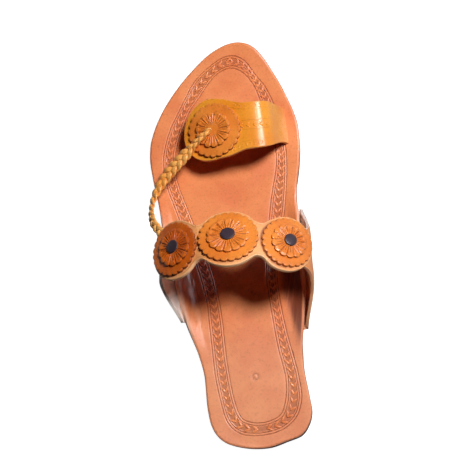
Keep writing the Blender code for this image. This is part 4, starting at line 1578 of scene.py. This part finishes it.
def flower_tooling(radius_out):
    """Petals: a deep groove between two, a raised lip round each, and a fold down its middle.

    across is 0 in the middle of a petal and 1 between two; share is 0 at the centre and 1 at the tips.
    """

    def tooling(x, y):
        radius, turn = math.hypot(x, y), math.atan2(y, x)
        share = radius / radius_out
        across = abs(((turn * PETALS / (2 * math.pi)) % 1.0) - 0.5) * 2
        gap = rise(across, 0.78, 0.16) * rise(share, 0.20, 0.15)
        lip = bump(across - 0.60, 0.22) * rise(share, 0.35, 0.2)
        tip = bump(share - 0.86, 0.12) * (1 - rise(across, 0.6, 0.3))
        fold = bump(across, 0.18) * rise(share, 0.25, 0.1) * (1 - rise(share, 0.62, 0.15))
        height = LIP_HEIGHT * max(lip, tip) - GAP_DEPTH * gap - FOLD_DEPTH * fold
        # painted shade in the grooves between petals and in the folds
        return height, max(gap, FOLD_SHADE * fold)

    return tooling


def centre_tooling(x, y):
    """A dome with a rough face."""
    share = math.hypot(x, y) / CENTRE_RADIUS
    return CENTRE_CROWN * (1 - share**2) + CENTRE_UNEVEN * uneven(CENTRE_GRAIN, x, y), 0.0


def rosette(side, patch, flower_radius, shift, has_centre, disc_look):
    """A disc, a flower and, where it has one, a dark centre, each seated on the one under it."""

    def lay(name, line, wall, radius, counts, height, moved, tooling, look, slot, node):
        def surface(x, y):
            return over(patch, x + moved, y, height)

        spine = [Vector((0.0, 0.0))] * len(line)
        sheet = plate(plate_rings(line, spine, wall, radius, *counts), surface, tooling)
        add_piece(f"{name}_{side}", sheet, look, slot, f"{node}_{side}")

    def scallops(turn):
        return DISC_RADIUS - SCALLOP_CUT * (1 - wave(DISC_SCALLOPS, turn, SCALLOP_POWER))

    def petals(turn):
        return flower_radius - PETAL_NOTCH * (1 - wave(PETALS, turn, PETAL_POWER))

    line = round_line(DISC_SCALLOPS * SCALLOP_SEGMENTS, scallops)
    height = SEAM + DISC_WALL - DISC_LOWERED
    lay("disc", line, DISC_WALL, DISC_ROUND, DISC_RINGS, height, 0.0, disc_tooling,
        disc_look, "rosette_leather", "rosette_disc")
    line = round_line(PETALS * PETAL_SEGMENTS, petals)
    height = 2 * SEAM + DISC_WALL + FLOWER_WALL
    lay("petals", line, FLOWER_WALL, FLOWER_ROUND, FLOWER_RINGS, height, shift,
        flower_tooling(flower_radius), disc_look, "rosette_leather", "flower")
    if has_centre:
        line = round_line(CENTRE_SEGMENTS, lambda turn: CENTRE_RADIUS)
        height = height + PETAL_CUP + SEAM + CENTRE_WALL - CENTRE_CROWN
        lay("button", line, CENTRE_WALL, CENTRE_ROUND, CENTRE_RINGS, height, shift,
            centre_tooling, CENTRE_LOOK, "centre_leather", "flower_centre")


# Braid


def braid_route(patch):
    """Points and face directions of the braid, from the toe flower to under the outer lobe."""
    lift = DISC_WALL + 2 * SEAM + BRAID_WALL / 2
    over_flower = lift + FLOWER_WALL + PETAL_CUP + SEAM
    past_disc = lift + 3 * SEAM
    route = []
    for radius, height in ((0.0, over_flower), (TOE_FLOWER_RADIUS, over_flower), (DISC_RADIUS, past_disc)):
        x, y = radius * math.cos(BRAID_BEARING), radius * math.sin(BRAID_BEARING)
        at = over(patch, x, y, height)
        route.append((at, (over(patch, x, y, height + NUDGE) - at).normalized()))
    depth = STRAP_WALL + SEAM + BRAID_WALL / 2
    u = -(STRAP_REACH - LOBE_RADIUS * BRAID_LANDING)
    rim = strap_half(u)
    ends = []
    for v in (rim + BRAID_LAP, rim, rim - BRAID_LAP):
        ends.append((under_strap(u, v, depth), normal_of(strap_point, u, v)))
    start, end = route[0][0], ends[0][0]
    ground = insole_top(STRAP_PLACE * SOLE_LENGTH)
    for across, back, up, face in BRAID_RUN:
        x = start.x + across * (end.x - start.x)
        y = start.y + back * (end.y - start.y)
        z = ground + up * (end.z - ground)
        route.append((Vector((x, y, z)), Vector(face).normalized()))
    return route + ends


STRANDS = 3
PLAIT_LENGTH = 15.6 * MM
THONG_WIDTH = 3.7 * MM
THONG_WALL = 1.6 * MM
THONG_ROWS = 300
THONG_SIDES = 14
SWING = (BRAID_WIDTH - THONG_WIDTH * 0.86) / 2
WEAVE = (BRAID_WALL - THONG_WALL) / 2
AXIS_STEP = 0.5 * MM
THONG_STEP = 0.4 * MM
# Share of a thong's size that stays where the plait is thin, and at its start
THIN_SIZE = (0.35, 0.65)
START_SIZE = (0.4, 0.6)
START_LENGTH = 4 * MM
# Painted shade along the edges of each thong, where the thongs meet: from what share of its width, over
# what share, and how dark
THONG_EDGE = 0.88
THONG_EDGE_WIDTH = 0.12
THONG_EDGE_SHADE = 0.45

# How full the plait is: share of its length, share of its full width
PLAIT_FULLNESS = (
    (0.00, 0.40),
    (0.14, 0.52),
    (0.24, 1.00),
    (0.40, 1.00),
    (0.52, 0.80),
    (0.70, 0.68),
    (1.00, 0.66),
)
FULLNESS_AT = reader(PLAIT_FULLNESS)


class Plait:
    """Where the thongs of the braid run, by the distance along its route."""

    def __init__(self, route):
        self.at, marks = arc_curve([point for point, face in route])
        self.length = marks[-1]
        knots = [marks[CURVE_SAMPLES * k] for k in range(len(route))]
        self.faces = []
        for axis in range(3):
            self.faces.append(reader(list(zip(knots, (face[axis] for point, face in route)))))

    def fullness(self, distance):
        return FULLNESS_AT(distance / self.length)

    def axes(self, distance):
        """Directions across the braid and out of its face."""
        tangent = (self.at(distance + AXIS_STEP) - self.at(distance - AXIS_STEP)).normalized()
        face = Vector([read(distance) for read in self.faces])
        across = tangent.cross(face).normalized()
        return across, across.cross(tangent)

    def thong(self, distance, strand):
        """Middle of a thong."""
        across, up = self.axes(distance)
        phase = 2 * math.pi * (distance / PLAIT_LENGTH + strand / STRANDS)
        aside = across * self.fullness(distance) * SWING * math.sin(phase)
        return self.at(distance) + aside + up * WEAVE * math.sin(2 * phase)


def thong_sheet(plait, strand):
    """One thong of the plait, closed at both ends."""
    sheet, spot_of = tube_sheet(THONG_SIDES, THONG_ROWS)
    groove = mark_layers(sheet)[0]
    last = THONG_ROWS - 3
    for vert in sheet.verts:
        turn, row = spot_of(vert)
        angle = 2 * math.pi * turn / THONG_SIDES
        distance = plait.length * min(max(row - 1, 0), last) / last
        closed = row in (0, THONG_ROWS - 1)
        size = 0.0 if closed else THIN_SIZE[0] + THIN_SIZE[1] * plait.fullness(distance)
        size *= START_SIZE[0] + START_SIZE[1] * ease(distance / START_LENGTH)
        ahead = plait.thong(distance + THONG_STEP, strand)
        way = (ahead - plait.thong(distance - THONG_STEP, strand)).normalized()
        across = way.cross(plait.axes(distance)[1]).normalized()
        up = across.cross(way)
        side, rising = math.cos(angle), math.sin(angle)
        spread = across * side * THONG_WIDTH + up * rising * THONG_WALL
        vert.co = plait.thong(distance, strand) + size * spread / 2
        # painted shade along the thong's edges
        vert[groove] = THONG_EDGE_SHADE * ease((abs(side) - THONG_EDGE) / THONG_EDGE_WIDTH)
    bmesh.ops.remove_doubles(sheet, verts=sheet.verts[:], dist=WELD)
    bmesh.ops.recalc_face_normals(sheet, faces=sheet.faces[:])
    return sheet


def braid(patch):
    """A flat plait of three thongs."""
    plait = Plait(braid_route(patch))
    whole = bmesh.new()
    for strand in range(STRANDS):
        strip = mesh_of("thong", thong_sheet(plait, strand))
        whole.from_mesh(strip)
        bpy.data.meshes.remove(strip)
    add_piece("braid_thongs", whole, BRAID_LOOK, "braid_leather", "braid")


# Light, floor and camera


WHITE = (1.0, 1.0, 1.0)
FLOOR_GREY = 0.38
FLOOR_SIZE = 20.0
SKY_STRENGTH = 0.008
LIGHT_AIM = Vector((0.0, 0.08, 0.02))

# Lamps: name, place, size, power, colour, and whether it only shows as gloss
LAMPS = (
    ("key", (0.42, 0.31, 0.96), 0.27, 11.7, WHITE, False),
    ("sheen", (0.42, 0.32, 0.96), 0.30, 5.0, (1.0, 0.94, 0.96), True),
    ("band gloss", (0.86, 0.56, 0.80), 0.50, 12.0, (1.0, 0.88, 0.94), True),
)


def area_light(name, where, size, power, colour, gives_gloss):
    """A soft disk lamp that either lights the leather or only shows as gloss on it."""
    data = bpy.data.lights.new(name, "AREA")
    data.shape = "DISK"
    data.size = size
    data.energy = power
    data.color = colour
    lamp = add_object(name, data)
    lamp.location = where
    lamp.rotation_euler = (LIGHT_AIM - Vector(where)).to_track_quat("-Z", "Y").to_euler()
    lamp.visible_camera = False
    lamp.visible_diffuse = not gives_gloss
    lamp.visible_glossy = gives_gloss


def floor_paper():
    """Paper that shades under the sandal but looks white to the camera."""
    paper = bpy.data.materials.new("floor paper")
    paper.use_nodes = True
    shader = paper.node_tree.nodes["Principled BSDF"]
    shader.inputs["Base Color"].default_value = (FLOOR_GREY, FLOOR_GREY, FLOOR_GREY, 1.0)
    shader.inputs["Emission Color"].default_value = (*WHITE, 1.0)
    rays = add_node(paper.node_tree, "ShaderNodeLightPath", -400)
    paper.node_tree.links.new(rays.outputs["Is Camera Ray"], shader.inputs["Emission Strength"])
    shader.inputs["Roughness"].default_value = 0.9
    return paper


def studio():
    sheet = bmesh.new()
    bmesh.ops.create_grid(sheet, x_segments=1, y_segments=1, size=FLOOR_SIZE)
    mesh = mesh_of("floor", sheet)
    mesh.materials.append(floor_paper())
    add_object("floor", mesh)
    world = bpy.data.worlds.new("studio")
    bpy.context.scene.world = world
    world.use_nodes = True
    sky = world.node_tree.nodes["Background"]
    sky.inputs["Color"].default_value = (*WHITE, 1.0)
    sky.inputs["Strength"].default_value = SKY_STRENGTH
    for lamp in LAMPS:
        area_light(*lamp)


def camera():
    data = bpy.data.cameras.new("camera")
    data.lens = CAMERA_LENS
    data.sensor_width = SENSOR
    data.clip_start = 0.01
    eye = add_object("camera", data)
    back = (CAMERA_PLACE - CAMERA_AIM).normalized()
    picture_up = Vector((math.sin(TOE_LEAN), math.cos(TOE_LEAN), 0.0))
    right = picture_up.cross(back).normalized()
    up = back.cross(right)
    turn = Matrix((right, up, back)).transposed().to_4x4()
    eye.matrix_world = Matrix.Translation(CAMERA_PLACE) @ turn
    bpy.context.scene.camera = eye


bpy.context.scene.view_settings.view_transform = "Standard"
camera()
studio()
sole()
insole()
border_leaves()
ear(-1, "ear_leather_lateral", "ear_lateral")
ear(1, "ear_leather_medial", "ear_medial")
instep_strap()
toe_band()
band_stamps()
toe_post()
TOE_PATCH = seat_on(band_point, BAND_LOBE - TOE_SEAT_SHIFT, TOE_SEAT_DROP)
OUTER_PATCH = seat_on(strap_point, -LOBE_SPACING, 0.0)
# the outer rosette wears the darker copy: painted shade
rosette("lateral", OUTER_PATCH, FLOWER_RADIUS, OUTER_FLOWER_SHIFT, True, SHADED_DISC_LOOK)
rosette("middle", seat_on(strap_point, 0.0, 0.0), FLOWER_RADIUS, 0.0, True, DISC_LOOK)
rosette("medial", seat_on(strap_point, LOBE_SPACING, 0.0), FLOWER_RADIUS, 0.0, True, DISC_LOOK)
rosette("toe", TOE_PATCH, TOE_FLOWER_RADIUS, 0.0, False, DISC_LOOK)
braid(TOE_PATCH)
